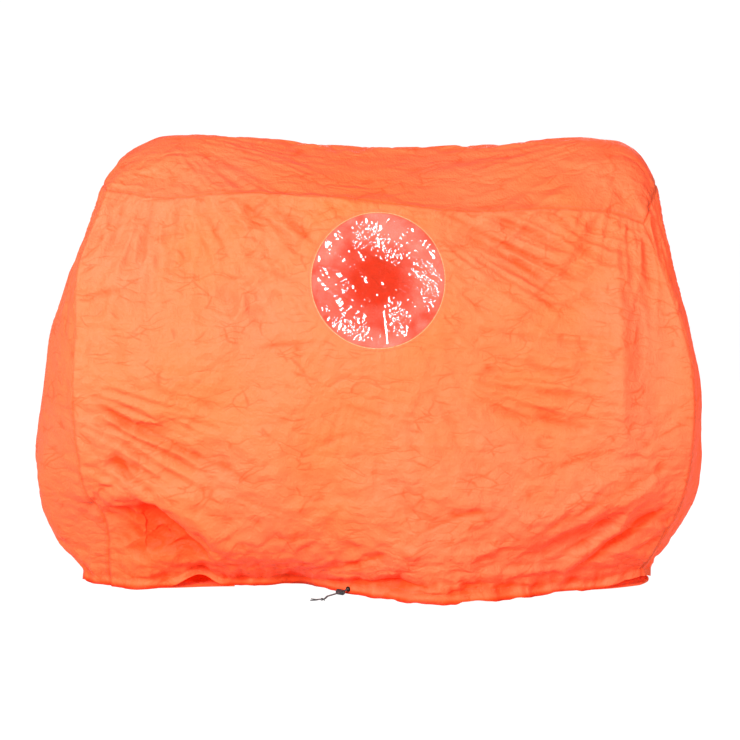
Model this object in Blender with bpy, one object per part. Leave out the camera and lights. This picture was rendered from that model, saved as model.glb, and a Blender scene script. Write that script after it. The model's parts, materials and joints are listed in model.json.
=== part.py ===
"""Orange nylon survival shelter for two people, stood as it hangs when it is pulled over them.

Metres, +Z up. The window side faces -Y, and +X is to the right of someone who looks at it. The
origin is on the ground, in the middle of the space that the shelter covers.

One grid of points covers the four walls and the roof. Each panel, tape and pane is a layer of
that grid, at its own depth under the outer face, so what is sewn together lies face to face.
"""

import math

import bmesh
import bpy
import numpy as np
from mathutils import Matrix, Vector

# Overall size of the shelter as it hangs
LENGTH = 1.413
DEPTH = 0.584
HEIGHT = 0.9405

# Cloth, film and tape, with the thickness that stands in for the thin material
CLOTH = 0.0015
PANE = 0.001
TAPE = 0.0008
GAP = 0.0003

# Sewn edges
TAPE_WIDTH = 0.018
HEM_HEIGHT = 0.020
HEM_CHANNEL = 0.0050
FACING_LIFT = 0.001

# Window
WINDOW_DIAMETER = 0.265
WINDOW_X = 0.019
WINDOW_DROP = 0.0223
PANE_SEAM = 0.008
STITCH_WIDTH = 0.002

# Ground flaps that the two people sit on
FLAP_INNER_EDGE = 0.280

# Drawcord, its eyelet and its two tails
CORD_DIAMETER = 0.0023
CORD_PITCH = 0.0026
TURN_RADIUS = 0.0029
EYELET_X = -0.042
EYELET_BORE = 0.0056
EYELET_WALL = 0.0007
EYELET_FLANGE = 0.0120
EYELET_FLANGE_THICKNESS = 0.0006
WASHER_THICKNESS = 0.0005
HEM_ENTRY = 0.012
TAIL_START_OUT = 0.011
TAIL_START_ALONG = -0.003
TAIL_LEAD = 0.003
TAIL_TURN = math.radians(36.0)
TAIL_STRAIGHT = 0.054
KNOT_DISTANCE = 0.070
KNOT_LOOP = 0.00145
END_LENGTH = 0.018
END_SPLAY = 0.35

# Cord lock
LOCK_DIAMETER = 0.0120
LOCK_LENGTH = 0.0160
LOCK_FLOOR = 0.0005
LOCK_BORE = 0.0088
LOCK_BACK_WALL = 0.0012
LOCK_PLAY = 0.0003
LOCK_HOLE_HEIGHT = 0.0031
LOCK_HOLE_OFFSET = 0.0024
LOCK_REST = 0.0085
LOCK_EDGE = 0.001
LOCK_MOUTH_EDGE = 0.0006
BUTTON_EDGE = 0.0012
BUTTON_TRAVEL = 0.0024
BUTTON_PROUD = 0.0032
BUTTON_FOOT = 0.0018
SPRING_RADIUS = 0.0030
SPRING_WIRE = 0.0003
SPRING_TURNS = 3

# Vertical outlines as (share of the way from hem to roof seam, share of the half length or depth)
LEFT_END = ((0, 0.863), (0.04, 0.905), (0.08, 0.943), (0.16, 0.976), (0.30, 1.0), (0.46, 0.980),
            (0.62, 0.952), (0.76, 0.897), (0.88, 0.843), (1, 0.795))
RIGHT_END = ((0, 0.853), (0.04, 0.876), (0.08, 0.905), (0.16, 0.944), (0.28, 0.980), (0.40, 0.993),
             (0.50, 0.988), (0.62, 0.957), (0.76, 0.912), (0.88, 0.880), (1, 0.850))
LEFT_SEAM = ((0, 0.771), (0.05, 0.775), (0.17, 0.79), (0.24, 0.825), (0.34, 0.841), (0.49, 0.852),
             (0.655, 0.845), (0.83, 0.834), (0.917, 0.796), (1, 0.757))
RIGHT_SEAM = ((0, 0.814), (0.06, 0.84), (0.14, 0.88), (0.28, 0.92), (0.42, 0.933), (0.49, 0.935),
              (0.65, 0.920), (0.80, 0.878), (0.907, 0.840), (1, 0.793))
SEAM_DEPTH = ((0, 0.26), (0.06, 0.36), (0.17, 0.52), (0.34, 0.69), (0.50, 0.78), (0.66, 0.76),
              (0.83, 0.68), (1, 0.52))
WALL_DEPTH = ((0, 0.70), (0.05, 0.80), (0.15, 0.92), (0.30, 0.99), (0.45, 1.0), (0.60, 0.97),
              (0.80, 0.86), (1, 0.72))
WALL_FULLNESS = 2.6
END_FULLNESS = 2.2

# Roof seam and ridge as (share of the way from left to right, share of the height)
ROOF_SEAM = ((0, 0.897), (0.13, 0.882), (0.22, 0.890), (0.38, 0.882), (0.63, 0.848), (0.88, 0.852),
             (0.965, 0.832), (1, 0.805))
ROOF_END_LEFT = 0.907
ROOF_END_RIGHT = 0.898
RIDGE = ((0, 0.907), (0.052, 0.961), (0.081, 0.9835), (0.115, 1.0), (0.16, 1.0), (0.338, 0.987),
         (0.484, 0.975), (0.655, 0.976), (0.783, 0.9835), (0.903, 0.993), (0.945, 0.983),
         (0.98, 0.945), (1, 0.898))
RIDGE_SHARPNESS = 1.5

# Where the hem is pulled in or pushed out on the ground: x and half width as shares of the half
# length, and the way outwards as a share of the half depth
FRONT_HEM_PULLS = ((-0.467, 0.212, -0.342), (-0.198, 0.156, -0.360), (0.269, 0.170, 0.154),
                   (0.594, 0.113, -0.103))
BACK_HEM_PULLS = ((0.396, 0.212, -0.274), (-0.255, 0.198, 0.103), (-0.594, 0.127, -0.103))
HEM_PULL_REACH = 0.12

# Main folds: start and end as shares of the wall's half length and of the height, then the way
# outwards and the half width as shares of the height
FRONT_FOLDS = (
    (-0.722, 0.245, -0.453, 0.074, -0.0234, 0.0383),
    (-0.609, 0.276, -0.340, 0.064, 0.0159, 0.0383),
    (0.906, 0.308, 0.396, 0.138, 0.0159, 0.0425),
    (0.849, 0.202, 0.368, 0.053, -0.0159, 0.0383),
    (0.764, 0.372, 0.283, 0.436, -0.0117, 0.0425),
    (0.708, 0.797, 0.722, 0.319, 0.0138, 0.0447),
    (-0.623, 0.819, -0.113, 0.468, -0.0117, 0.0447),
    (-0.736, 0.776, -0.594, 0.383, 0.0117, 0.0447),
    (0.651, 0.819, 0.255, 0.553, 0.0117, 0.0447),
    (0.184, 0.829, 0.651, 0.638, -0.0106, 0.0383),
    (-0.368, 0.564, -0.085, 0.553, 0.0085, 0.0362),
    (-0.113, 0.447, 0.212, 0.106, -0.0117, 0.0447),
    (0.085, 0.383, 0.396, 0.170, 0.0106, 0.0447),
    (-0.340, 0.425, -0.170, 0.149, 0.0106, 0.0447),
)
BACK_FOLDS = (
    (-0.623, 0.819, -0.142, 0.489, -0.0128, 0.0447),
    (0.651, 0.808, 0.142, 0.468, -0.0128, 0.0447),
    (-0.736, 0.744, -0.566, 0.298, 0.0138, 0.0447),
    (0.764, 0.702, 0.623, 0.255, 0.0138, 0.0447),
    (-0.651, 0.298, -0.311, 0.053, -0.0191, 0.0404),
    (0.311, 0.298, 0.623, 0.053, -0.0191, 0.0404),
    (0.170, 0.340, 0.425, 0.064, 0.0138, 0.0425),
    (-0.481, 0.362, -0.170, 0.074, 0.0138, 0.0425),
    (0.000, 0.383, 0.085, 0.064, -0.0117, 0.0425),
    (-0.085, 0.702, 0.142, 0.425, 0.0106, 0.0425),
)
END_FOLDS = (
    (-0.342, 0.766, -0.103, 0.362, -0.0096, 0.0319),
    (0.377, 0.723, 0.103, 0.319, -0.0096, 0.0319),
    (-0.479, 0.362, -0.103, 0.106, 0.0106, 0.0319),
    (0.479, 0.340, 0.137, 0.085, 0.0106, 0.0319),
    (0.068, 0.276, -0.068, 0.064, -0.0096, 0.0298),
)
ROOF_FOLDS = (
    (-0.594, 0.000, -0.113, -0.548, 0.0074, 0.0383),
    (-0.594, 0.068, -0.142, 0.514, 0.0074, 0.0383),
    (0.679, 0.000, 0.198, -0.548, 0.0074, 0.0383),
    (0.679, 0.068, 0.226, 0.514, 0.0074, 0.0383),
)
FOLD_FADE = 0.05

# Cells of the grid along the front, along an end, and up a wall
FRONT_CELLS = 24
END_CELLS = 10
WALL_CELLS = 18
RING = 2 * (FRONT_CELLS + END_CELLS)

# Depths under the outer face at which each layer starts
SEAM_LAYER = CLOTH + GAP
CORD_DEPTH = SEAM_LAYER + HEM_CHANNEL - GAP - CORD_DIAMETER / 2
FLAP_EDGE = SEAM_LAYER + TAPE + HEM_CHANNEL * CLOTH / (HEM_HEIGHT / 2) + GAP


def smooth_value(table, at):
    """Value of a smooth curve through the (position, value) pairs of a table."""
    xs, ys = np.array(table, float).T
    slopes = np.gradient(ys, xs)
    k = int(np.clip(np.searchsorted(xs, at) - 1, 0, len(xs) - 2))
    span = xs[k + 1] - xs[k]
    t = min(max((at - xs[k]) / span, 0.0), 1.0)
    start = ys[k] * (1 + 2 * t) * (1 - t) ** 2 + slopes[k] * span * t * (1 - t) ** 2
    end = ys[k + 1] * t * t * (3 - 2 * t) + slopes[k + 1] * span * t * t * (t - 1)
    return start + end


def fullness(s, power):
    """How far a wall bulges between its seams, 0 at both seams and 1 in the middle."""
    return 1.0 - abs(2.0 * s - 1.0) ** power


def edged_steps(cells, length):
    """Shares from 0 to 1, with a cell of half a tape's width at each end and equal ones between."""
    edge = TAPE_WIDTH / 2 / length
    return [0.0, *np.linspace(edge, 1.0 - edge, cells - 1), 1.0]


def seam_height(s):
    """Height of the roof seam, s of the way from the left corner to the right one."""
    return HEIGHT * smooth_value(ROOF_SEAM, s)


def hem_shift(x, height, pulls):
    """How far the hem is drawn outwards at x, less with height above the hem."""
    reach = math.exp(-max(height - HEM_HEIGHT, 0.0) / HEM_PULL_REACH)
    place = x / (LENGTH / 2)
    total = sum(way * math.exp(-(((place - at) / width) ** 2)) for at, width, way in pulls)
    return reach * total * DEPTH / 2


def seam_xs(w):
    """Left and right seam positions at w of the way up."""
    half = LENGTH / 2
    return -half * smooth_value(LEFT_SEAM, w), half * smooth_value(RIGHT_SEAM, w)


def long_wall_point(s, w, height, front):
    """Point on the front or the back, s of the way from the left seam to the right one."""
    left, right = seam_xs(w)
    x = left + (right - left) * s
    seam = DEPTH / 2 * smooth_value(SEAM_DEPTH, w)
    wall = DEPTH / 2 * smooth_value(WALL_DEPTH, w)
    shift = hem_shift(x, height, FRONT_HEM_PULLS if front else BACK_HEM_PULLS)
    out = seam + (wall - seam + shift) * fullness(s, WALL_FULLNESS)
    return (x, -out if front else out, height)


def end_wall_point(s, w, height, right):
    """Point on an end, s of the way from the front seam to the back one."""
    seam_x = seam_xs(w)[1 if right else 0]
    reach = LENGTH / 2 * smooth_value(RIGHT_END if right else LEFT_END, w)
    end_x = reach if right else -reach
    depth = DEPTH / 2 * smooth_value(SEAM_DEPTH, w)
    x = seam_x + (end_x - seam_x) * fullness(s, END_FULLNESS)
    return (x, depth * (2.0 * s - 1.0), height)


def row_heights(top):
    """(height, share of the way from hem to roof seam) of each row of a column this high."""
    rows = [(0.0, 0.0), (HEM_HEIGHT / 2, 0.0)]
    rise = top - HEM_HEIGHT
    last = 1.0 - TAPE_WIDTH / 2 / rise
    for w in [*np.linspace(0.0, last, WALL_CELLS - 2), 1.0]:
        rows.append((HEM_HEIGHT + rise * w, w))
    return rows


def wall_column(side, index):
    """The points of one column of a wall, from the ground up, in the order of the ring."""
    long_side = side in ("front", "back")
    cells = FRONT_CELLS if long_side else END_CELLS
    reverse = side in ("back", "left")
    k = cells - index if reverse else index
    left, right = seam_xs(1.0)
    chord = right - left if long_side else DEPTH * smooth_value(SEAM_DEPTH, 1.0)
    s_top = edged_steps(cells, chord)[k]
    if long_side:
        top = seam_height(s_top)
    else:
        corner = seam_height(1.0 if side == "right" else 0.0)
        middle = HEIGHT * (ROOF_END_RIGHT if side == "right" else ROOF_END_LEFT)
        top = corner + (middle - corner) * fullness(s_top, END_FULLNESS)
    points = []
    for height, w in row_heights(top):
        left, right = seam_xs(w)
        chord = right - left if long_side else DEPTH * smooth_value(SEAM_DEPTH, w)
        s = edged_steps(cells, chord)[k]
        if long_side:
            points.append(long_wall_point(s, w, height, side == "front"))
        else:
            points.append(end_wall_point(s, w, height, side == "right"))
    return points


def roof_points(loop):
    """Inner points of the roof, spanned between its four seams and lifted to the ridge."""
    front, right, back, left = loop
    across = edged_steps(END_CELLS, DEPTH * smooth_value(SEAM_DEPTH, 1.0))
    along = edged_steps(FRONT_CELLS, seam_xs(1.0)[1] - seam_xs(1.0)[0])
    inner = {}
    for i in range(1, FRONT_CELLS):
        for m in range(1, END_CELLS):
            u, v = along[i], across[m]
            rows = (1 - v) * front[i] + v * back[i]
            columns = (1 - u) * left[m] + u * right[m]
            corners = ((1 - u) * (1 - v) * front[0] + u * (1 - v) * front[-1]
                       + (1 - u) * v * back[0] + u * v * back[-1])
            point = rows + columns - corners
            middle = (front[i] + back[i]) / 2 + ((1 - u) * left[END_CELLS // 2]
                      + u * right[END_CELLS // 2]) - ((1 - u) * (front[0] + back[0])
                                                      + u * (front[-1] + back[-1])) / 2
            lift = HEIGHT * smooth_value(RIDGE, u) - middle[2]
            point[2] += lift * fullness(v, RIDGE_SHARPNESS)
            inner[i, m] = point
    return inner


def fold_depth(folds, along, up, half_length, rise):
    """How far the folds push the cloth outwards at a place on its wall."""
    total = 0.0
    for x0, z0, x1, z1, way, width in folds:
        dx, dz = (x1 - x0) * half_length, (z1 - z0) * rise
        from_x, from_z = along - x0 * half_length, up - z0 * rise
        length = math.hypot(dx, dz)
        t = (from_x * dx + from_z * dz) / length**2
        beside = abs(from_x * dz - from_z * dx) / length
        if 0.0 < t < 1.0:
            fade = math.exp(-((beside / (width * HEIGHT)) ** 2))
            total += way * HEIGHT * math.sin(math.pi * t) * fade
    return total


def window_height():
    """Height of the window's middle, which hangs below the roof seam."""
    left, right = seam_xs(1.0)
    seam = seam_height((WINDOW_X - left) / (right - left))
    return seam - WINDOW_DROP - WINDOW_DIAMETER / 2


class Shell:
    """The grid of points over walls and roof, with the way out of the cloth at each point."""

    def __init__(self):
        ring = []
        for side, cells in (("front", FRONT_CELLS), ("right", END_CELLS),
                            ("back", FRONT_CELLS), ("left", END_CELLS)):
            ring += [wall_column(side, i) for i in range(cells)]
        walls = np.array(ring, float)
        rows = WALL_CELLS + 1
        f, e = FRONT_CELLS, END_CELLS
        numbers = np.arange(RING * rows).reshape(RING, rows)
        around = np.vstack([numbers, numbers[:1]])
        self.sides = {
            "front": around[: f + 1],
            "right": around[f : f + e + 1],
            "back": around[f + e : 2 * f + e + 1],
            "left": around[2 * f + e :],
        }
        self.ring = around
        top = {name: walls.reshape(-1, 3)[ids[:, -1]] for name, ids in self.sides.items()}
        inner = roof_points((top["front"], top["right"], top["back"][::-1], top["left"][::-1]))
        roof = np.zeros((f + 1, e + 1), int)
        roof[:, 0] = self.sides["front"][:, -1]
        roof[:, e] = self.sides["back"][::-1, -1]
        roof[f, :] = self.sides["right"][:, -1]
        roof[0, :] = self.sides["left"][::-1, -1]
        extra = []
        for i in range(1, f):
            for m in range(1, e):
                roof[i, m] = RING * rows + len(extra)
                extra.append(inner[i, m])
        self.sides["roof"] = roof
        self.points = np.vstack([walls.reshape(-1, 3), np.array(extra)])
        self.diagonals = {(a, c) for a, _, c, _ in self.quads().tolist()}
        self.outward = self.mitred_normals()
        self.add_folds()
        self.outward = self.mitred_normals()

    def quads(self):
        """Every cell of the grid as four point numbers, seen from outside."""
        cells = []
        for ids in self.sides.values():
            a, b, c, d = ids[:-1, :-1], ids[1:, :-1], ids[1:, 1:], ids[:-1, 1:]
            cells.append(np.stack([a, b, c, d], axis=-1).reshape(-1, 4))
        return np.vstack(cells)

    def mitred_normals(self):
        """Outward vectors, lengthened where the cloth bends so that its thickness stays even."""
        quads = self.quads()
        triangles = np.vstack([quads[:, [0, 1, 2]], quads[:, [0, 2, 3]]])
        p = self.points
        cross = np.cross(p[triangles[:, 1]] - p[triangles[:, 0]],
                         p[triangles[:, 2]] - p[triangles[:, 0]])
        area = np.linalg.norm(cross, axis=1, keepdims=True)
        unit = cross / area
        total = np.zeros_like(p)
        for corner in range(3):
            np.add.at(total, triangles[:, corner], unit * area)
        hem = self.ring[:-1, :2].ravel()
        total[hem, 2] = 0.0
        normal = total / np.linalg.norm(total, axis=1, keepdims=True)
        lean = np.zeros(len(p))
        weight = np.zeros(len(p))
        for corner in range(3):
            at = triangles[:, corner]
            np.add.at(lean, at, (normal[at] * unit).sum(axis=1) * area[:, 0])
            np.add.at(weight, at, area[:, 0])
        return normal / np.clip(lean / weight, 0.7, 1.0)[:, None]

    def add_folds(self):
        """Moves the points of each wall along their normals by its folds."""
        moved = self.points.copy()
        places = (("front", FRONT_FOLDS, 0, LENGTH / 2), ("back", BACK_FOLDS, 0, LENGTH / 2),
                  ("left", END_FOLDS, 1, DEPTH / 2), ("right", END_FOLDS, 1, DEPTH / 2),
                  ("roof", ROOF_FOLDS, 0, LENGTH / 2))
        window_z = window_height()
        for side, folds, axis, half_length in places:
            rise = DEPTH / 2 if side == "roof" else HEIGHT
            ids = self.sides[side]
            corner_low = self.points[ids[0]].mean(axis=0)[axis]
            corner_high = self.points[ids[-1]].mean(axis=0)[axis]
            low, high = sorted((corner_low, corner_high))
            for n in ids[1:-1, 1:-1].ravel():
                x, y, z = self.points[n]
                along = (x, y)[axis]
                up = y if side == "roof" else z
                edge = min(along - low, high - along)
                fade = min(max(edge / FOLD_FADE, 0.0), 1.0)
                if side != "roof":
                    fade *= min(max((z - HEM_HEIGHT) / FOLD_FADE, 0.0), 1.0)
                if side == "front":
                    away = math.hypot(x - WINDOW_X, z - window_z) / WINDOW_DIAMETER
                    fade *= 1.0 - math.exp(-((away / 0.65) ** 4))
                push = fade * fold_depth(folds, along, up, half_length, rise)
                moved[n] += push * self.outward[n]
        self.points = moved

    def at_depth(self, numbers, depth):
        """The points with these numbers, this far inwards from the outer face."""
        return self.points[numbers] - self.outward[numbers] * np.asarray(depth)[..., None]

    def hem_middle(self, column, depth):
        """Point at half the hem's height on a column of the ring."""
        return Vector(self.at_depth(self.ring[column, 1], depth))


def material(name, colour, roughness, metallic=0.0, alpha=1.0):
    """A plain Principled material."""
    made = bpy.data.materials.new(name)
    made.use_nodes = True
    made.diffuse_color = (*colour, alpha)
    shader = made.node_tree.nodes["Principled BSDF"]
    shader.inputs["Base Color"].default_value = (*colour, 1.0)
    shader.inputs["Roughness"].default_value = roughness
    shader.inputs["Metallic"].default_value = metallic
    shader.inputs["Alpha"].default_value = alpha
    return made


def collection(name):
    """A new collection in the scene."""
    made = bpy.data.collections.new(name)
    bpy.context.scene.collection.children.link(made)
    return made


def add_object(name, mesh, finish, group):
    """Puts a mesh or a curve in the scene as a named object."""
    made = bpy.data.objects.new(name, mesh)
    made.data.materials.append(finish)
    group.objects.link(made)
    return made


def mesh_of(name, bm):
    """A mesh made from a bmesh, which is then freed."""
    mesh = bpy.data.meshes.new(name)
    bm.to_mesh(mesh)
    bm.free()
    return mesh


def pulled_back(rows, trims):
    """Grid of points whose four edges are drawn in along the surface by the given lengths."""
    points = np.array(rows, float)
    first, last, low, high = trims

    def drawn(edge, inner, length):
        step = inner - edge
        return edge + step * (length / np.linalg.norm(step, axis=-1, keepdims=True))

    columns = points.copy()
    if first:
        columns[0] = drawn(points[0], points[1], first)
    if last:
        columns[-1] = drawn(points[-1], points[-2], last)
    both = columns.copy()
    if low:
        both[:, 0] = drawn(columns[:, 0], columns[:, 1], low)
    if high:
        both[:, -1] = drawn(columns[:, -1], columns[:, -2], high)
    return both


def layer_mesh(name, shell, ids, outer, inner, trims, closed=False):
    """A closed sheet between two depths of the grid: a loft whose edges are mitred at the seams."""
    faces_out = pulled_back(shell.at_depth(ids, outer), trims)
    faces_in = pulled_back(shell.at_depth(ids, inner), trims)
    if closed:
        faces_out, faces_in = faces_out[:-1], faces_in[:-1]
    columns, rows = faces_out.shape[:2]
    bm = bmesh.new()
    skin = [[bm.verts.new(p) for p in column] for column in faces_out]
    lining = [[bm.verts.new(p) for p in column] for column in faces_in]
    for i in range(columns if closed else columns - 1):
        n = (i + 1) % columns
        for j in range(rows - 1):
            corners = ((i, j), (n, j), (n, j + 1), (i, j + 1))
            first, last = int(ids[i, j]), int(ids[i + 1, j + 1])
            if (first, last) not in shell.diagonals and (last, first) not in shell.diagonals:
                corners = corners[1:] + corners[:1]
            for three in ((0, 1, 2), (0, 2, 3)):
                bm.faces.new([skin[corners[k][0]][corners[k][1]] for k in three])
                bm.faces.new([lining[corners[k][0]][corners[k][1]] for k in reversed(three)])
        for j, flip in ((0, False), (rows - 1, True)):
            quad = (skin[i][j], lining[i][j], lining[n][j], skin[n][j])
            bm.faces.new(quad[::-1] if flip else quad)
    if not closed:
        for j in range(rows - 1):
            bm.faces.new((skin[0][j], skin[0][j + 1], lining[0][j + 1], lining[0][j]))
            bm.faces.new((skin[-1][j], lining[-1][j], lining[-1][j + 1], skin[-1][j + 1]))
    bmesh.ops.triangulate(bm, faces=bm.faces[:])
    return mesh_of(name, bm)


def cylinder_mesh(name, radius, height, sides):
    """A closed cylinder about Z, centred on its origin."""
    bm = bmesh.new()
    bmesh.ops.create_cone(bm, cap_ends=True, segments=sides, radius1=radius, radius2=radius,
                          depth=height)
    return mesh_of(name, bm)


def box_mesh(name, size):
    """A closed box centred on its origin."""
    bm = bmesh.new()
    bmesh.ops.create_cube(bm, size=1.0, matrix=Matrix.Diagonal((*size, 1.0)))
    return mesh_of(name, bm)


def turned_mesh(name, profile, sides):
    """A closed solid of revolution about Z, from a closed (radius, height) outline."""
    bm = bmesh.new()
    ring = [bm.verts.new((r, 0.0, z)) for r, z in profile]
    edges = [bm.edges.new((a, b)) for a, b in zip(ring, ring[1:] + ring[:1])]
    bmesh.ops.spin(bm, geom=ring + edges, cent=(0, 0, 0), axis=(0, 0, 1), angle=2 * math.pi,
                   steps=sides, use_merge=True)
    bmesh.ops.recalc_face_normals(bm, faces=bm.faces[:])
    return mesh_of(name, bm)


def tube(name, points, radius, finish, group, detail=2, closed=False):
    """A round cord or wire along the points, with its ends closed."""
    curve = bpy.data.curves.new(name, "CURVE")
    curve.dimensions = "3D"
    curve.bevel_depth = radius
    curve.bevel_resolution = detail
    curve.use_fill_caps = not closed
    spline = curve.splines.new("POLY")
    spline.points.add(len(points) - 1)
    for target, point in zip(spline.points, points):
        target.co = (*point, 1.0)
    spline.use_cyclic_u = closed
    return add_object(name, curve, finish, group)


def smooth_route(points, count):
    """Evenly numbered points on a smooth curve through a route."""
    places = np.array([tuple(p) for p in points])
    gaps = np.linalg.norm(np.diff(places, axis=0), axis=1)
    run = np.concatenate([[0.0], np.cumsum(gaps)])
    tables = [tuple(zip(run, places[:, k])) for k in range(3)]
    return [Vector([smooth_value(t, at) for t in tables]) for at in np.linspace(0, run[-1], count)]


def subtract(target, cutter, operation="DIFFERENCE"):
    """Cuts one object with another."""
    boolean = target.modifiers.new(cutter.name, "BOOLEAN")
    boolean.operation = operation
    boolean.object = cutter


def add_cutter(name, mesh, place, finish, group):
    """A helper that only cuts."""
    made = add_object(name, mesh, finish, group)
    made.matrix_world = place
    made.hide_render = True
    made.display_type = "WIRE"
    return made


def frame_at(origin, along, upright):
    """Placing matrix whose Z runs along one direction and whose X is close to another."""
    z = Vector(along).normalized()
    y = z.cross(Vector(upright)).normalized()
    x = y.cross(z)
    place = Matrix((x, y, z)).transposed().to_4x4()
    place.translation = Vector(origin)
    return place


def add_panels(shell, finish, parts):
    """The five panels of cloth, which meet at the seams with a hair's gap."""
    half = GAP / 2
    made = {}
    for side, name in (("front", "front_panel"), ("right", "right_end_panel"),
                       ("back", "back_panel"), ("left", "left_end_panel"),
                       ("roof", "roof_panel")):
        trims = (half, half, half if side == "roof" else 0.0, half)
        mesh = layer_mesh(name, shell, shell.sides[side], 0.0, CLOTH, trims)
        made[side] = add_object(name, mesh, finish, parts)
    return made


def add_tapes(shell, finish, parts):
    """Seam tapes on the inside: four along the roof and four down the corners."""
    half = GAP / 2
    sides = shell.sides
    roof = sides["roof"]
    runs = {
        "roof_front_tape": [sides["front"][:, -2], roof[:, 0], roof[:, 1]],
        "roof_back_tape": [sides["back"][::-1, -2], roof[:, -1], roof[:, -2]],
        "roof_right_tape": [sides["right"][1:-1, -2], roof[-1, 1:-1], roof[-2, 1:-1]],
        "roof_left_tape": [sides["left"][::-1][1:-1, -2], roof[0, 1:-1], roof[1, 1:-1]],
        "front_left_tape": [sides["left"][-2, 2:-1], sides["front"][0, 2:-1],
                            sides["front"][1, 2:-1]],
        "front_right_tape": [sides["front"][-2, 2:-1], sides["right"][0, 2:-1],
                             sides["right"][1, 2:-1]],
        "back_right_tape": [sides["right"][-2, 2:-1], sides["back"][0, 2:-1],
                            sides["back"][1, 2:-1]],
        "back_left_tape": [sides["back"][-2, 2:-1], sides["left"][0, 2:-1],
                           sides["left"][1, 2:-1]],
    }
    inside_out = ("roof_back_tape", "roof_left_tape")
    for name, lines in runs.items():
        ids = np.array(lines)
        if name.startswith("roof"):
            ids = ids.T
        if name in inside_out:
            ids = ids[::-1]
        trims = (half, half, half, half)
        mesh = layer_mesh(name, shell, ids, SEAM_LAYER, SEAM_LAYER + TAPE, trims)
        add_object(name, mesh, finish, parts)


def window_place(shell):
    """Placing matrix of the window, with Z out of the shelter."""
    ids = shell.sides["front"]
    height = window_height()
    flat = shell.points[ids.ravel()]
    away = np.hypot(flat[:, 0] - WINDOW_X, flat[:, 2] - height)
    near = away < WINDOW_DIAMETER / 2
    outward = shell.outward[ids.ravel()][near].mean(axis=0)
    nearest = flat[np.argmin(away)]
    slope = -outward[[0, 2]] / outward[1]
    y = nearest[1] + slope @ (np.array((WINDOW_X, height)) - nearest[[0, 2]])
    return frame_at((WINDOW_X, y, height), outward, (1, 0, 0)), near.reshape(ids.shape)


def add_window(shell, front, film, thread, plain, parts, cutters):
    """The round hole in the front, the film sewn behind it and the ring of stitches."""
    place, near = window_place(shell)
    reach = DEPTH / 8
    radius = WINDOW_DIAMETER / 2
    hole = add_cutter("window_hole", cylinder_mesh("window_hole", radius, reach, 64), place,
                      plain, cutters)
    subtract(front, hole)
    columns = np.flatnonzero(near.any(axis=1))
    rows = np.flatnonzero(near.any(axis=0))
    ids = shell.sides["front"][columns[0] - 2 : columns[-1] + 3, rows[0] - 2 : rows[-1] + 3]
    no_trim = (0.0, 0.0, 0.0, 0.0)
    pane_mesh = layer_mesh("window_pane", shell, ids, SEAM_LAYER, SEAM_LAYER + PANE, no_trim)
    pane = add_object("window_pane", pane_mesh, film, parts)
    disc = add_cutter("window_disc", cylinder_mesh("window_disc", radius + PANE_SEAM, reach, 64),
                      place, plain, cutters)
    subtract(pane, disc, "INTERSECT")
    inner, outer = radius + GAP, radius + GAP + STITCH_WIDTH
    outline = ((inner, -reach / 2), (outer, -reach / 2), (outer, reach / 2), (inner, reach / 2))
    band = add_cutter("stitch_band", turned_mesh("stitch_band", outline, 64), place, plain, cutters)
    stitch_mesh = layer_mesh("window_stitching", shell, ids, -GAP - TAPE, -GAP, no_trim)
    stitches = add_object("window_stitching", stitch_mesh, thread, parts)
    subtract(stitches, band, "INTERSECT")


def add_hem(shell, tape_finish, cord_finish, parts):
    """The facing that closes the hem into a channel, and the drawcord that runs round in it."""
    depths = np.array((SEAM_LAYER, SEAM_LAYER + HEM_CHANNEL, SEAM_LAYER))
    mesh = layer_mesh("hem_facing", shell, shell.ring[:, :3], depths, depths + TAPE,
                      (0.0, 0.0, FACING_LIFT, GAP / 2), closed=True)
    add_object("hem_facing", mesh, tape_finish, parts)
    eyelet = Eyelet(shell)
    out = EYELET_FLANGE_THICKNESS + GAP
    turn = []
    for step in range(5):
        angle = step / 4 * math.pi / 2
        beside = CORD_PITCH / 2 + TURN_RADIUS * (1 - math.cos(angle))
        depth = CORD_DEPTH - TURN_RADIUS + TURN_RADIUS * math.sin(angle)
        turn.append((beside, -depth))
    half_route = [(CORD_PITCH / 2, out), *turn, (HEM_ENTRY, -CORD_DEPTH)]
    start = [eyelet.local(side, way, 0.0) for side, way in half_route]
    finish = [eyelet.local(-side, way, 0.0) for side, way in reversed(half_route)]
    order = [(eyelet.column + 1 + k) % RING for k in range(RING)]
    around = [shell.hem_middle(column, CORD_DEPTH) for column in order]
    tube("drawcord", start + around + finish, CORD_DIAMETER / 2, cord_finish, parts)
    return eyelet


class Eyelet:
    """Where the drawcord leaves the hem: a point on the hem, its way out and its way along."""

    def __init__(self, shell):
        xs = [shell.hem_middle(k, 0.0).x for k in range(FRONT_CELLS + 1)]
        middles = [(a + b) / 2 for a, b in zip(xs, xs[1:])]
        self.column = int(np.argmin([abs(x - EYELET_X) for x in middles]))
        left = shell.hem_middle(self.column, 0.0)
        right = shell.hem_middle(self.column + 1, 0.0)
        self.along = (right - left).normalized()
        self.centre = left + self.along * ((EYELET_X - left.x) / self.along.x)
        self.out = Vector((self.along.y, -self.along.x, 0.0))
        self.tail_out = Matrix.Rotation(-TAIL_TURN, 3, "Z") @ Vector((0.0, -1.0, 0.0))
        self.tail_beside = Vector((-self.tail_out.y, self.tail_out.x, 0.0))

    def local(self, side, way, up):
        """World point from distances along the hem, outwards and upwards."""
        return self.centre + self.along * side + self.out * way + Vector((0, 0, up))


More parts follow.
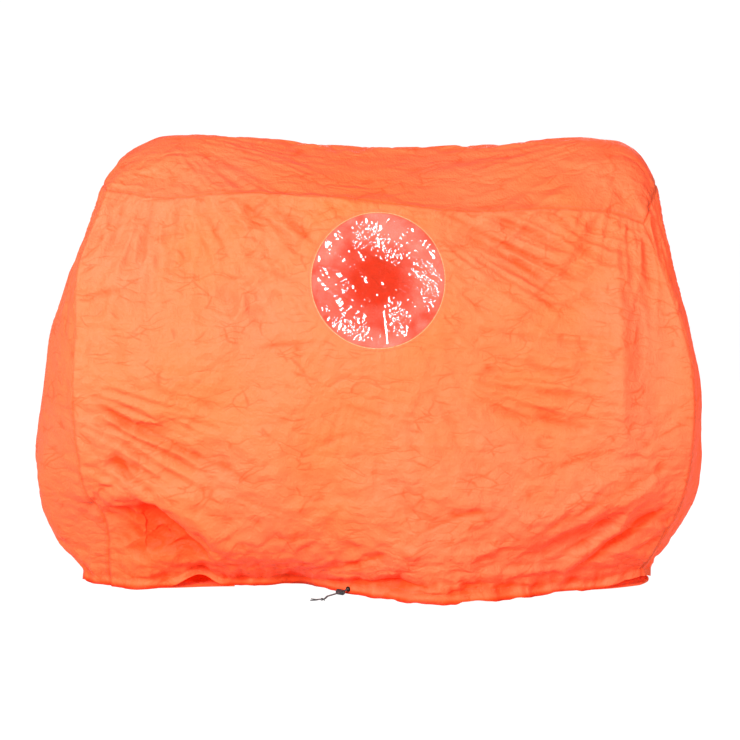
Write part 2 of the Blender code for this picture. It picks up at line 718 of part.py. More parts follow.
def add_eyelet(shell, eyelet, front, finish, plain, parts, cutters):
    """A flanged metal eyelet through the hem, clinched over a washer inside."""
    bore = EYELET_BORE / 2
    barrel = bore + EYELET_WALL
    flange = EYELET_FLANGE / 2
    top = GAP + EYELET_FLANGE_THICKNESS
    washer_top = -CLOTH - GAP
    low = washer_top - WASHER_THICKNESS
    place = frame_at(eyelet.centre, eyelet.out, (0, 0, 1))
    outline = ((bore, low), (barrel, low), (barrel, GAP), (flange, GAP), (flange, top), (bore, top))
    made = add_object("cord_eyelet", turned_mesh("cord_eyelet", outline, 24), finish, parts)
    made.matrix_world = place
    clear = barrel + GAP
    outline = ((clear, low), (flange, low), (flange, washer_top), (clear, washer_top))
    washer = add_object("eyelet_washer", turned_mesh("eyelet_washer", outline, 24), finish, parts)
    washer.matrix_world = place
    hole = add_cutter("eyelet_hole", cylinder_mesh("eyelet_hole", clear, 4 * CLOTH, 24), place,
                      plain, cutters)
    subtract(front, hole)


def tail_base(eyelet):
    """Where the tails start to run straight over the ground, at the height of the lock's hole."""
    height = LOCK_FLOOR + LOCK_DIAMETER / 2
    start = eyelet.centre + eyelet.out * TAIL_START_OUT + eyelet.along * TAIL_START_ALONG
    return Vector((start.x, start.y, height))


def add_tails(eyelet, finish, parts):
    """Two cord tails from the eyelet through the lock to a knot, and the ends beyond the knot."""
    radius = CORD_DIAMETER / 2
    base = tail_base(eyelet)
    out, beside = eyelet.tail_out, eyelet.tail_beside
    knot_height = KNOT_LOOP + radius + GAP
    knot = Vector((base.x, base.y, 0.0)) + out * KNOT_DISTANCE + Vector((0, 0, knot_height))
    first_out = GAP * 2 + EYELET_FLANGE_THICKNESS
    stop = KNOT_DISTANCE - 3 * KNOT_LOOP - radius - GAP
    for name, side in (("cord_tail_left", -1), ("cord_tail_right", 1)):
        shift = side * CORD_PITCH / 2
        route = [eyelet.local(shift, way, 0.0) for way in (first_out, first_out + TAIL_LEAD)]
        for share in (0.0, 0.03, 0.06, 0.35, 0.65, 0.94, 0.97, 1.0):
            route.append(base + out * (TAIL_STRAIGHT * share) + beside * shift)
        end = base + out * stop + beside * shift
        end.z = knot.z
        route.append(end)
        tube(name, smooth_route(route, 30), radius, finish, parts)
    turn = []
    for step in range(24):
        t = 2 * math.pi * step / 24
        loop = Vector((math.sin(t) + 2 * math.sin(2 * t), math.cos(t) - 2 * math.cos(2 * t),
                       -math.sin(3 * t)))
        turn.append(knot + (beside * loop.x + out * loop.y) * KNOT_LOOP
                    + Vector((0, 0, loop.z * KNOT_LOOP)))
    tube("cord_knot", turn, radius, finish, parts, closed=True)
    lobe = Matrix.Rotation(-math.pi / 3, 3, "Z") @ out
    lobe_side = Vector((-lobe.y, lobe.x, 0.0))
    for name, side in (("cord_end_left", -1), ("cord_end_right", 1)):
        way = (lobe + lobe_side * (side * END_SPLAY)).normalized()
        start = (knot + lobe * (3 * KNOT_LOOP + radius + GAP)
                 + lobe_side * (side * CORD_PITCH / 2))
        floor = Vector((0, 0, radius + GAP - start.z))
        lead = start + lobe * TAIL_LEAD
        route = [start, lead + floor * 0.3]
        route += [lead + way * (END_LENGTH * k / 3) + floor for k in (1, 2, 3)]
        tube(name, smooth_route(route, 9), radius, finish, parts)


def add_lock(eyelet, shell_finish, button_finish, steel, plain, parts, cutters):
    """The spring lock on the tails: barrel, push button and the spring behind it."""
    radius = CORD_DIAMETER / 2
    out, beside = eyelet.tail_out, eyelet.tail_beside
    middle = tail_base(eyelet) + out * LOCK_REST - beside * LOCK_HOLE_OFFSET
    half = LOCK_LENGTH / 2
    bore = LOCK_BORE / 2
    place = frame_at(middle, beside, out)
    side = LOCK_DIAMETER / 2
    outline = [(0.0, -half), (side - LOCK_EDGE, -half), (side, -half + LOCK_EDGE),
               (side, half - LOCK_MOUTH_EDGE), (side - LOCK_MOUTH_EDGE, half),
               (bore, half), (bore, -half + LOCK_BACK_WALL), (0.0, -half + LOCK_BACK_WALL)]
    barrel = add_object("cord_lock_barrel", solid_of_turning("cord_lock_barrel", outline, 32),
                        shell_finish, parts)
    barrel.matrix_world = place
    cord_half = CORD_PITCH / 2 + radius
    hole_low = LOCK_HOLE_OFFSET - cord_half - LOCK_PLAY
    hole_high = LOCK_HOLE_OFFSET + cord_half + LOCK_PLAY
    width = LOCK_DIAMETER * 1.5
    shift = Matrix.Translation((0, 0, (hole_low + hole_high) / 2))
    barrel_cut = add_cutter("lock_hole", box_mesh("lock_hole",
                            (width, LOCK_HOLE_HEIGHT, hole_high - hole_low)), place @ shift,
                            plain, cutters)
    subtract(barrel, barrel_cut)
    slot_high = hole_high + BUTTON_TRAVEL
    foot = hole_low - BUTTON_FOOT
    tip = half + BUTTON_PROUD
    wide = bore - LOCK_PLAY
    outline = [(0.0, foot), (wide, foot), (wide, tip - BUTTON_EDGE), (wide - BUTTON_EDGE, tip),
               (0.0, tip)]
    button = add_object("cord_lock_button", solid_of_turning("cord_lock_button", outline, 32),
                        button_finish, parts)
    button.matrix_world = place
    shift = Matrix.Translation((0, 0, (hole_low + slot_high) / 2))
    button_cut = add_cutter("button_hole", box_mesh("button_hole",
                            (width, LOCK_HOLE_HEIGHT, slot_high - hole_low)), place @ shift,
                            plain, cutters)
    subtract(button, button_cut)
    low = -half + LOCK_BACK_WALL + GAP + SPRING_WIRE
    high = foot - GAP - SPRING_WIRE
    steps = SPRING_TURNS * 9
    coil = []
    for k in range(steps + 1):
        angle = 2 * math.pi * k / 9
        rise = low + (high - low) * k / steps
        spot = Vector((SPRING_RADIUS * math.cos(angle), SPRING_RADIUS * math.sin(angle), rise))
        coil.append(place @ spot)
    tube("cord_lock_spring", coil, SPRING_WIRE, steel, parts, detail=1)
    gap = (high - low) / SPRING_TURNS - 2 * SPRING_WIRE
    print(f"spring turns lie {gap * 1000:.2f} mm apart")


def solid_of_turning(name, profile, sides):
    """A closed turned solid from an outline that starts and ends on its axis."""
    bm = bmesh.new()
    line = [bm.verts.new((r, 0.0, z)) for r, z in profile]
    edges = [bm.edges.new(pair) for pair in zip(line, line[1:])]
    bmesh.ops.spin(bm, geom=line + edges, cent=(0, 0, 0), axis=(0, 0, 1), angle=2 * math.pi,
                   steps=sides, use_merge=True)
    bmesh.ops.remove_doubles(bm, verts=bm.verts[:], dist=1e-6)
    bmesh.ops.recalc_face_normals(bm, faces=bm.faces[:])
    return mesh_of(name, bm)


def add_flaps(shell, finish, parts):
    """Two ground flaps inside the ends, with the hem's own outline and a straight inner edge."""
    hem = shell.at_depth(shell.ring[:-1, 0], FLAP_EDGE)
    for name, way in (("left_seat_flap", -1), ("right_seat_flap", 1)):
        bm = bmesh.new()
        face = bm.faces.new([bm.verts.new((x, y, 0.0)) for x, y, _ in hem])
        bmesh.ops.bisect_plane(bm, geom=[face, *face.edges, *face.verts],
                               plane_co=(way * FLAP_INNER_EDGE, 0, 0), plane_no=(way, 0, 0),
                               clear_inner=True)
        raised = bmesh.ops.extrude_face_region(bm, geom=bm.faces[:])["geom"]
        top = [v for v in raised if isinstance(v, bmesh.types.BMVert)]
        bmesh.ops.translate(bm, vec=(0, 0, CLOTH), verts=top)
        bmesh.ops.recalc_face_normals(bm, faces=bm.faces[:])
        bmesh.ops.triangulate(bm, faces=bm.faces[:])
        add_object(name, mesh_of(name, bm), finish, parts)


def main():
    """Builds the whole shelter."""
    for old in list(bpy.data.objects):
        bpy.data.objects.remove(old)
    parts = collection("survival_shelter")
    cutters = collection("cutters")
    nylon = material("orange_nylon", (1.0, 0.21, 0.05), 0.6)
    tape = material("orange_seam_tape", (0.95, 0.17, 0.04), 0.7)
    thread = material("pale_orange_thread", (1.0, 0.45, 0.30), 0.7)
    film = material("clear_window_film", (0.95, 0.60, 0.55), 0.12, alpha=0.4)
    flap = material("orange_floor_cloth", (0.80, 0.16, 0.04), 0.7)
    cord = material("black_cord", (0.02, 0.02, 0.02), 0.8)
    plastic = material("black_nylon_plastic", (0.02, 0.02, 0.02), 0.45)
    metal = material("blackened_brass", (0.08, 0.07, 0.06), 0.4, metallic=0.9)
    steel = material("spring_steel", (0.6, 0.6, 0.6), 0.3, metallic=1.0)
    shell = Shell()
    panels = add_panels(shell, nylon, parts)
    add_tapes(shell, tape, parts)
    add_window(shell, panels["front"], film, thread, nylon, parts, cutters)
    eyelet = add_hem(shell, tape, cord, parts)
    add_eyelet(shell, eyelet, panels["front"], metal, nylon, parts, cutters)
    add_flaps(shell, flap, parts)
    add_tails(eyelet, cord, parts)
    add_lock(eyelet, plastic, plastic, steel, nylon, parts, cutters)


if __name__ == "__main__":
    main()
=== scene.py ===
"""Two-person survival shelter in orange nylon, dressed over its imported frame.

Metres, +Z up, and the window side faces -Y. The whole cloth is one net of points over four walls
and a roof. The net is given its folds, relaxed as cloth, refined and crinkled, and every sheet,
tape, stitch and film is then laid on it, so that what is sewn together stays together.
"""

from __future__ import annotations

import json
import logging
import math
from contextlib import contextmanager
from dataclasses import dataclass, field
from enum import Enum
from functools import partial
from typing import Callable, Iterator, Sequence, Union

import bmesh
import bpy
import numpy as np
from bpy.types import Material, Mesh, Node, NodeSocket, Object
from mathutils import Matrix, Vector
from mathutils.kdtree import KDTree

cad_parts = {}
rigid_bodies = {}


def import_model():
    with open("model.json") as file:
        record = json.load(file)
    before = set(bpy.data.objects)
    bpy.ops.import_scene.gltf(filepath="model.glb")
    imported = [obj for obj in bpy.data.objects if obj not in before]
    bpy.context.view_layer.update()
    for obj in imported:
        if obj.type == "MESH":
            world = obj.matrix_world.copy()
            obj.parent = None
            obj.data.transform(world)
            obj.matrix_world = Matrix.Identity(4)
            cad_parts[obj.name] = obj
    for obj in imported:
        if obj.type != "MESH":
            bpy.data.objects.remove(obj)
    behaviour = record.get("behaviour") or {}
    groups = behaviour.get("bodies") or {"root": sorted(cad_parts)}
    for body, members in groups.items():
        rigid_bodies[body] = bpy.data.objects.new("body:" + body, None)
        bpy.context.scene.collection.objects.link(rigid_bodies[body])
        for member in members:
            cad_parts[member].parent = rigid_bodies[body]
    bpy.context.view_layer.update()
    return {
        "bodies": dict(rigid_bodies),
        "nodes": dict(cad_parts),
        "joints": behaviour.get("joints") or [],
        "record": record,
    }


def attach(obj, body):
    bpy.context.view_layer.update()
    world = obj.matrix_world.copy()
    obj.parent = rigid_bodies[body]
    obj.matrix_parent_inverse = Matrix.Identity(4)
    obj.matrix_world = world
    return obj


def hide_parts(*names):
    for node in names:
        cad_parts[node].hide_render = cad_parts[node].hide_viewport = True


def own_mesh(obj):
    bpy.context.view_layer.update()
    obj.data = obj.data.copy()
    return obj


log = logging.getLogger("shelter")

Table = Sequence[Sequence[float]]
Array = np.ndarray
Adder = Callable[..., Node]
Feed = Union[Node, NodeSocket]


class Side(Enum):
    """The five panels of the shelter, in the order in which the walls are walked round."""

    FRONT = "front_panel"
    RIGHT = "right_end_panel"
    BACK = "back_panel"
    LEFT = "left_end_panel"
    ROOF = "roof_panel"


LONG_SIDES = (Side.FRONT, Side.BACK)
WALLS = (Side.FRONT, Side.RIGHT, Side.BACK, Side.LEFT)
Run = list[tuple[Side, Array, Array]]
PRESS_WAY = (-0.809017, 0.587785, 0.0)


def colour(code: str, alpha: float = 1.0) -> tuple[float, float, float, float]:
    """Turns an sRGB hex code into the linear colour that a shader takes.

    Args:
        code: six hex digits, with or without a leading hash.
        alpha: opacity of the colour.

    Returns:
        Linear red, green, blue and alpha.
    """
    digits = code.lstrip("#")
    parts = [int(digits[k : k + 2], 16) / 255 for k in (0, 2, 4)]
    linear = [c / 12.92 if c <= 0.04045 else ((c + 0.055) / 1.055) ** 2.4 for c in parts]
    return (*linear, alpha)


def curve_value(table: Table, at: Array | float) -> Array:
    """Value of a smooth curve through the (position, value) pairs of a table.

    Args:
        table: positions in rising order, each with its value.
        at: where the curve is read.

    Returns:
        The curve's values, in the shape of at.
    """
    xs, ys = np.array(table, float).T
    slopes = np.gradient(ys, xs)
    where = np.asarray(at, float)
    k = np.clip(np.searchsorted(xs, where) - 1, 0, len(xs) - 2)
    span = xs[k + 1] - xs[k]
    t = np.clip((where - xs[k]) / span, 0.0, 1.0)
    start = ys[k] * (1 + 2 * t) * (1 - t) ** 2 + slopes[k] * span * t * (1 - t) ** 2
    end = ys[k + 1] * t * t * (3 - 2 * t) + slopes[k + 1] * span * t * t * (t - 1)
    return start + end


def fullness(share: Array, power: float) -> Array:
    """How far a wall bulges between its seams, 0 at both and 1 in the middle."""
    return 1.0 - np.abs(2.0 * share - 1.0) ** power


def eased(value: Array) -> Array:
    """A smooth step from 0 to 1 for values from 0 to 1."""
    t = np.clip(value, 0.0, 1.0)
    return t * t * (3 - 2 * t)


def unit(vectors: Array) -> Array:
    """The vectors along the last axis, each made one long."""
    return vectors / np.maximum(np.linalg.norm(vectors, axis=-1, keepdims=True), 1e-12)


def bell(*offsets: Array | float, power: float = 2) -> Array:
    """1 where every offset is 0, fading to about 0 past 1, more steeply for a higher power."""
    return np.exp(-sum(np.abs(offset) ** power for offset in offsets))


def run_along(line: Array) -> Array:
    """Distance along a line from its start to each of its points."""
    return np.concatenate([[0.0], np.cumsum(np.linalg.norm(np.diff(line, axis=0), axis=1))])


def read_at(at: Array, run: Array, line: Array) -> Array:
    """Points of a line at distances along it, where run has the distance of each of its points."""
    return np.stack([np.interp(at, run, line[:, k]) for k in range(3)], axis=1)


@dataclass(frozen=True)
class Crease:
    """A fold that the cloth has kept, straight between two places on its wall.

    Attributes:
        start: share of the half length, or metres, and height where it begins.
        end: where it ends.
        push: how far it stands out, negative for a furrow.
        width: half its width.
    """

    start: tuple[float, float]
    end: tuple[float, float]
    push: float
    width: float

    def depth(self, along: Array, up: Array, sharpness: float = 2.0) -> Array:
        """How far the crease pushes the cloth out at places on its wall.

        Args:
            along: place along the wall.
            up: height on the wall.
            sharpness: power of the profile, 2 for a soft fold and about 1 for a sharp one.

        Returns:
            The push at each place.
        """
        dx, dz = self.end[0] - self.start[0], self.end[1] - self.start[1]
        length = math.hypot(dx, dz)
        from_x, from_z = along - self.start[0], up - self.start[1]
        t = (from_x * dx + from_z * dz) / length**2
        beside = np.abs(from_x * dz - from_z * dx) / length
        profile = bell(beside / self.width, power=sharpness)
        return self.push * np.sin(math.pi * np.clip(t, 0.0, 1.0)) * profile


def creases(rows: Table, across: float = 1.0, rise: float = 1.0,
            scale: float = 1.0) -> list[Crease]:
    """Creases from rows of start x, start z, end x, end z, push and width.

    Args:
        rows: the table, in shares or in metres.
        across: what the places along the wall are shares of.
        rise: what the heights are shares of.
        scale: what the pushes and widths are shares of.

    Returns:
        The creases in metres.
    """
    return [
        Crease((a * across, b * rise), (c * across, d * rise), push * scale, width * scale)
        for a, b, c, d, push, width in rows
    ]


@dataclass(frozen=True)
class ShelterForm:
    """The hung shape of the shelter: its outlines, seams and main folds, as the frame has them."""

    length: float = 1.413
    depth: float = 0.584
    height: float = 0.9405
    tape_width: float = 0.018
    hem_height: float = 0.020
    left_end: Table = ((0, 0.863), (0.04, 0.905), (0.08, 0.943), (0.16, 0.976), (0.30, 1.0),
                       (0.46, 0.980), (0.62, 0.952), (0.76, 0.897), (0.88, 0.843), (1, 0.795))
    right_end: Table = ((0, 0.853), (0.04, 0.876), (0.08, 0.905), (0.16, 0.944), (0.28, 0.980),
                        (0.40, 0.993), (0.50, 0.988), (0.62, 0.957), (0.76, 0.912),
                        (0.88, 0.880), (1, 0.850))
    left_seam: Table = ((0, 0.771), (0.05, 0.775), (0.17, 0.79), (0.24, 0.825), (0.34, 0.841),
                        (0.49, 0.852), (0.655, 0.845), (0.83, 0.834), (0.917, 0.796), (1, 0.757))
    right_seam: Table = ((0, 0.814), (0.06, 0.84), (0.14, 0.88), (0.28, 0.92), (0.42, 0.933),
                         (0.49, 0.935), (0.65, 0.920), (0.80, 0.878), (0.907, 0.840), (1, 0.793))
    seam_depth: Table = ((0, 0.26), (0.06, 0.36), (0.17, 0.52), (0.34, 0.69), (0.50, 0.78),
                         (0.66, 0.76), (0.83, 0.68), (1, 0.52))
    wall_depth: Table = ((0, 0.70), (0.05, 0.80), (0.15, 0.92), (0.30, 0.99), (0.45, 1.0),
                         (0.60, 0.97), (0.80, 0.86), (1, 0.72))
    wall_fullness: float = 2.6
    end_fullness: float = 2.2
    roof_seam: Table = ((0, 0.897), (0.13, 0.882), (0.22, 0.890), (0.38, 0.882), (0.63, 0.848),
                        (0.88, 0.853), (0.965, 0.838), (1, 0.818))
    roof_end_left: float = 0.907
    roof_end_right: float = 0.898
    ridge: Table = ((0, 0.907), (0.026, 0.944), (0.052, 0.966), (0.081, 0.985), (0.115, 1.0),
                    (0.16, 1.0), (0.338, 0.987), (0.484, 0.975), (0.655, 0.976), (0.783, 0.9835),
                    (0.903, 0.993), (0.945, 0.983), (0.98, 0.945), (1, 0.898))
    ridge_sharpness: float = 1.5
    front_hem_pulls: Table = ((-0.467, 0.212, -0.342), (-0.198, 0.156, -0.360),
                              (0.269, 0.170, 0.154), (0.594, 0.113, -0.103))
    back_hem_pulls: Table = ((0.396, 0.212, -0.274), (-0.255, 0.198, 0.103),
                             (-0.594, 0.127, -0.103))
    hem_pull_reach: float = 0.12
    fold_fade: float = 0.05
    window_diameter: float = 0.265
    window_x: float = 0.019
    window_drop: float = 0.0223
    front_folds: Table = (
        (-0.722, 0.245, -0.453, 0.074, -0.0234, 0.0383),
        (-0.609, 0.276, -0.340, 0.064, 0.0159, 0.0383),
        (0.906, 0.308, 0.396, 0.138, 0.0159, 0.0425),
        (0.849, 0.202, 0.368, 0.053, -0.0159, 0.0383),
        (0.764, 0.372, 0.283, 0.436, -0.0117, 0.0425),
        (0.708, 0.797, 0.722, 0.319, 0.0138, 0.0447),
        (-0.623, 0.819, -0.113, 0.468, -0.0117, 0.0447),
        (-0.736, 0.776, -0.594, 0.383, 0.0117, 0.0447),
        (0.651, 0.819, 0.255, 0.553, 0.0117, 0.0447),
        (0.184, 0.829, 0.651, 0.638, -0.0106, 0.0383),
        (-0.368, 0.564, -0.085, 0.553, 0.0085, 0.0362),
        (-0.113, 0.447, 0.212, 0.106, -0.0117, 0.0447),
        (0.085, 0.383, 0.396, 0.170, 0.0106, 0.0447),
        (-0.340, 0.425, -0.170, 0.149, 0.0106, 0.0447),
    )
    back_folds: Table = (
        (-0.623, 0.819, -0.142, 0.489, -0.0128, 0.0447),
        (0.651, 0.808, 0.142, 0.468, -0.0128, 0.0447),
        (-0.736, 0.744, -0.566, 0.298, 0.0138, 0.0447),
        (0.764, 0.702, 0.623, 0.255, 0.0138, 0.0447),
        (-0.651, 0.298, -0.311, 0.053, -0.0191, 0.0404),
        (0.311, 0.298, 0.623, 0.053, -0.0191, 0.0404),
        (0.170, 0.340, 0.425, 0.064, 0.0138, 0.0425),
        (-0.481, 0.362, -0.170, 0.074, 0.0138, 0.0425),
        (0.000, 0.383, 0.085, 0.064, -0.0117, 0.0425),
        (-0.085, 0.702, 0.142, 0.425, 0.0106, 0.0425),
    )
    end_folds: Table = (
        (-0.342, 0.766, -0.103, 0.362, -0.0096, 0.0319),
        (0.377, 0.723, 0.103, 0.319, -0.0096, 0.0319),
        (-0.479, 0.362, -0.103, 0.106, 0.0106, 0.0319),
        (0.479, 0.340, 0.137, 0.085, 0.0106, 0.0319),
        (0.068, 0.276, -0.068, 0.064, -0.0096, 0.0298),
    )
    roof_folds: Table = (
        (-0.594, 0.000, -0.113, -0.548, 0.0074, 0.0383),
        (-0.594, 0.068, -0.142, 0.514, 0.0074, 0.0383),
        (0.679, 0.000, 0.198, -0.548, 0.0074, 0.0383),
        (0.679, 0.068, 0.226, 0.514, 0.0074, 0.0383),
    )

    def seam_xs(self, w: Array | float) -> tuple[Array, Array]:
        """Left and right corner positions at w of the way from the hem to the roof seam."""
        half = self.length / 2
        return -half * curve_value(self.left_seam, w), half * curve_value(self.right_seam, w)

    def seam_height(self, s: Array | float) -> Array:
        """Height of the roof seam, s of the way from the left corner to the right one."""
        return self.height * curve_value(self.roof_seam, s)

    def window_height(self) -> float:
        """Height of the middle of the window, which hangs below the roof seam."""
        left, right = self.seam_xs(1.0)
        seam = float(self.seam_height((self.window_x - left) / (right - left)))
        return seam - self.window_drop - self.window_diameter / 2

    def shares(self, number: Array, cells: int, length: Array | float) -> Array:
        """Share of the way at grid lines whose outer cells are half a tape wide.

        Args:
            number: numbers of the grid lines, from 0 to cells.
            cells: how many cells there are.
            length: length that the cells span, in metres.

        Returns:
            Shares from 0 to 1.
        """
        edge = self.tape_width / 2 / np.asarray(length, float)
        inner = edge + (1 - 2 * edge) * (number - 1) / (cells - 2)
        return np.where(number <= 0, 0.0, np.where(number >= cells, 1.0, inner))

    def hem_shift(self, x: Array, height: Array, pulls: Table) -> Array:
        """How far the hem is drawn outwards, less with height above the hem."""
        reach = np.exp(-np.maximum(height - self.hem_height, 0.0) / self.hem_pull_reach)
        place = x / (self.length / 2)
        total = sum(way * bell((place - at) / width) for at, width, way in pulls)
        return reach * total * self.depth / 2

    def wall(self, side: Side, cells: int, rises: int) -> Array:
        """Points of one wall before its folds, column by column from the ground up.

        Args:
            side: which wall.
            cells: cells along it.
            rises: cells up it.

        Returns:
            Array of (cells + 1, rises + 1, 3), its columns in the order of the walk round.
        """
        k = np.arange(cells + 1)
        left, right = self.seam_xs(1.0)
        if side in LONG_SIDES:
            s_top = self.shares(k, cells, right - left)
            top = self.seam_height(s_top)
        else:
            s_top = self.shares(k, cells, self.depth * curve_value(self.seam_depth, 1.0))
            corner = float(self.seam_height(1.0 if side is Side.RIGHT else 0.0))
            share = self.roof_end_right if side is Side.RIGHT else self.roof_end_left
            top = corner + (self.height * share - corner) * fullness(s_top, self.end_fullness)
        rise = top - self.hem_height
        last = 1.0 - self.tape_width / 2 / rise
        steps = np.linspace(0.0, 1.0, rises - 2)[None, :] * last[:, None]
        w = np.hstack([np.zeros((cells + 1, 2)), steps, np.ones((cells + 1, 1))])
        z = self.hem_height + rise[:, None] * w
        z[:, 0], z[:, 1] = 0.0, self.hem_height / 2
        seam = self.depth / 2 * curve_value(self.seam_depth, w)
        left, right = self.seam_xs(w)
        if side in LONG_SIDES:
            s = self.shares(k[:, None], cells, right - left)
            x = left + (right - left) * s
            wall = self.depth / 2 * curve_value(self.wall_depth, w)
            pulls = self.front_hem_pulls if side is Side.FRONT else self.back_hem_pulls
            y = seam + (wall - seam + self.hem_shift(x, z, pulls)) * fullness(s, self.wall_fullness)
            points = np.stack([x, -y if side is Side.FRONT else y, z], axis=-1)
        else:
            s = self.shares(k[:, None], cells, 2 * seam)
            reach = self.length / 2 * curve_value(
                self.right_end if side is Side.RIGHT else self.left_end, w)
            corner_x, end_x = (right, reach) if side is Side.RIGHT else (left, -reach)
            x = corner_x + (end_x - corner_x) * fullness(s, self.end_fullness)
            points = np.stack([x, seam * (2 * s - 1), z], axis=-1)
        return points[::-1].copy() if side in (Side.BACK, Side.LEFT) else points

    def roof(self, front: Array, right: Array, back: Array, left: Array) -> Array:
        """Points of the roof, spanned between its four seams and lifted to the ridge.

        Args:
            front: front seam from left to right.
            right: right seam from front to back.
            back: back seam from left to right.
            left: left seam from front to back.

        Returns:
            Array of (cells along + 1, cells across + 1, 3).
        """
        along, across = len(front) - 1, len(left) - 1
        ends = self.seam_xs(1.0)
        u = self.shares(np.arange(along + 1), along, ends[1] - ends[0])[:, None, None]
        v = self.shares(np.arange(across + 1), across,
                        self.depth * curve_value(self.seam_depth, 1.0))[None, :, None]
        rows = (1 - v) * front[:, None] + v * back[:, None]
        columns = (1 - u) * left[None] + u * right[None]
        corners = ((1 - u) * (1 - v) * front[0] + u * (1 - v) * front[-1]
                   + (1 - u) * v * back[0] + u * v * back[-1])
        points = rows + columns - corners
        half = across // 2
        share = u[:, 0, 0]
        middle = ((front + back)[:, 2] / 2 + (1 - share) * left[half, 2] + share * right[half, 2]
                  - ((1 - share) * (front[0] + back[0])[2]
                     + share * (front[-1] + back[-1])[2]) / 2)
        lift = self.height * curve_value(self.ridge, share) - middle
        raised = points.copy()
        raised[..., 2] += lift[:, None] * fullness(v[..., 0], self.ridge_sharpness)
        raised[0], raised[-1] = points[0], points[-1]
        raised[:, 0], raised[:, -1] = points[:, 0], points[:, -1]
        return raised

    def folds(self, side: Side) -> list[Crease]:
        """The main folds of a side, in metres."""
        half = self.length / 2
        if side is Side.ROOF:
            return creases(self.roof_folds, half, self.depth / 2, self.height)
        if side in LONG_SIDES:
            rows = self.front_folds if side is Side.FRONT else self.back_folds
            return creases(rows, half, self.height, self.height)
        return creases(self.end_folds, self.depth / 2, self.height, self.height)


@dataclass(frozen=True)
class Eyelet:
    """Where the drawcord leaves the hem, its two strands, and the way in which its tails lie."""

    centre: tuple[float, float, float] = (-0.0420, -0.1548, 0.0100)
    out: tuple[float, float, float] = (-0.6754, -0.7374, 0.0)
    along: tuple[float, float, float] = (0.7374, -0.6754, 0.0)
    tail_out: tuple[float, float, float] = (-0.5878, -0.8090, 0.0)
    tail_beside: tuple[float, float, float] = (0.8090, -0.5878, 0.0)
    base: tuple[float, float, float] = (-0.0516, -0.1609, 0.0065)
    bore: float = 0.0032
    cord_diameter: float = 0.0023
    cord_pitch: float = 0.0026

    def local(self, side: float, way: float) -> Vector:
        """World point from distances along the hem and outwards."""
        return Vector(self.centre) + Vector(self.along) * side + Vector(self.out) * way


def lay_grid(bm: bmesh.types.BMesh, points: Array) -> dict[bmesh.types.BMVert, tuple[int, int]]:
    """Adds a grid to a mesh in work, with one vertex at each point of an array.

    Args:
        bm: the mesh in work.
        points: array of (columns, rows, 3).

    Returns:
        Column and row of each new vertex.
    """
    columns, rows = points.shape[0] - 1, points.shape[1] - 1
    grid = bmesh.ops.create_grid(bm, x_segments=columns, y_segments=rows, size=1.0)
    places = {}
    for vert in grid["verts"]:
        places[vert] = (round((vert.co.x + 1) / 2 * columns), round((vert.co.y + 1) / 2 * rows))
        vert.co = points[places[vert]]
    return places


def grid_mesh(name: str, points: Array, uv: Array | None = None,
              keep: Callable[[Vector], bool] | None = None,
              deep: Array | None = None) -> Mesh:
    """A sheet with one vertex at each point of an array, made from a grid.

    Args:
        name: name of the mesh.
        points: array of (columns, rows, 3).
        uv: array of (columns, rows, 2) in metres along the cloth.
        keep: tells which faces stay, by their middle.
        deep: array of (columns, rows), how much painted shade each point gets.

    Returns:
        The mesh, with its faces towards columns crossed with rows.
    """
    bm = bmesh.new()
    layer = bm.loops.layers.uv.new("cloth")
    # Each point's painted shade, for the colour of the cloth.
    shade_layer = bm.verts.layers.float.new("deep")
    places = lay_grid(bm, points)
    if deep is not None:
        for vert, place in places.items():
            vert[shade_layer] = float(deep[place])
    if uv is not None:
        for face in bm.faces:
            for loop in face.loops:
                loop[layer].uv = uv[places[loop.vert]]
    if keep is not None:
        gone = [face for face in bm.faces if not keep(face.calc_center_median())]
        bmesh.ops.delete(bm, geom=gone, context="FACES")
    for face in bm.faces:
        face.smooth = True
    mesh = bpy.data.meshes.new(name)
    bm.to_mesh(mesh)
    bm.free()
    return mesh


@contextmanager
def edited(mesh: Mesh) -> Iterator[bmesh.types.BMesh]:
    """Opens a mesh for changes, and writes them back to it."""
    bm = bmesh.new()
    bm.from_mesh(mesh)
    yield bm
    bm.to_mesh(mesh)
    bm.free()


def placed(name: str, data: bpy.types.ID) -> Object:
    """A new object in the scene with its mesh, camera or lamp."""
    made = bpy.data.objects.new(name, data)
    bpy.context.scene.collection.objects.link(made)
    return made


def add_piece(name: str, mesh: Mesh, finish: Material,
              body: str = "shelter", replaces: Sequence[str] = ()) -> Object:
    """Puts a finished piece in the scene, on its body.

    Args:
        name: name of the piece.
        mesh: its mesh.
        finish: its material.
        body: the body that it rides on.
        replaces: nodes that it stands for.

    Returns:
        The object.
    """
    piece = placed(name, mesh)
    mesh.materials.append(finish)
    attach(piece, body)
    if replaces:
        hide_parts(*replaces)
    log.info("%s on %s, %d faces", name, body, len(mesh.polygons))
    return piece


def finer(points: Array, factor: int, axis: int) -> Array:
    """An array of points with more of them along one axis, on smooth curves through the old ones.

    Args:
        points: array whose axis 0 or 1 is made finer.
        factor: new steps for each old one.
        axis: which axis.

    Returns:
        The finer array, which still holds the old points.
    """
    p = np.moveaxis(points, axis, 0)
    before = np.concatenate([2 * p[:1] - p[1:2], p[:-2]])
    after = np.concatenate([p[2:], 2 * p[-1:] - p[-2:-1]])
    start, end = p[:-1], p[1:]
    made = []
    for step in range(factor):
        t = step / factor
        made.append(0.5 * (2 * start + (end - before) * t
                           + (2 * before - 5 * start + 4 * end - after) * t * t
                           + (3 * start - before - 3 * end + after) * t**3))
    woven = np.stack(made, axis=1).reshape(-1, *p.shape[1:])
    return np.moveaxis(np.concatenate([woven, p[-1:]]), 0, axis)


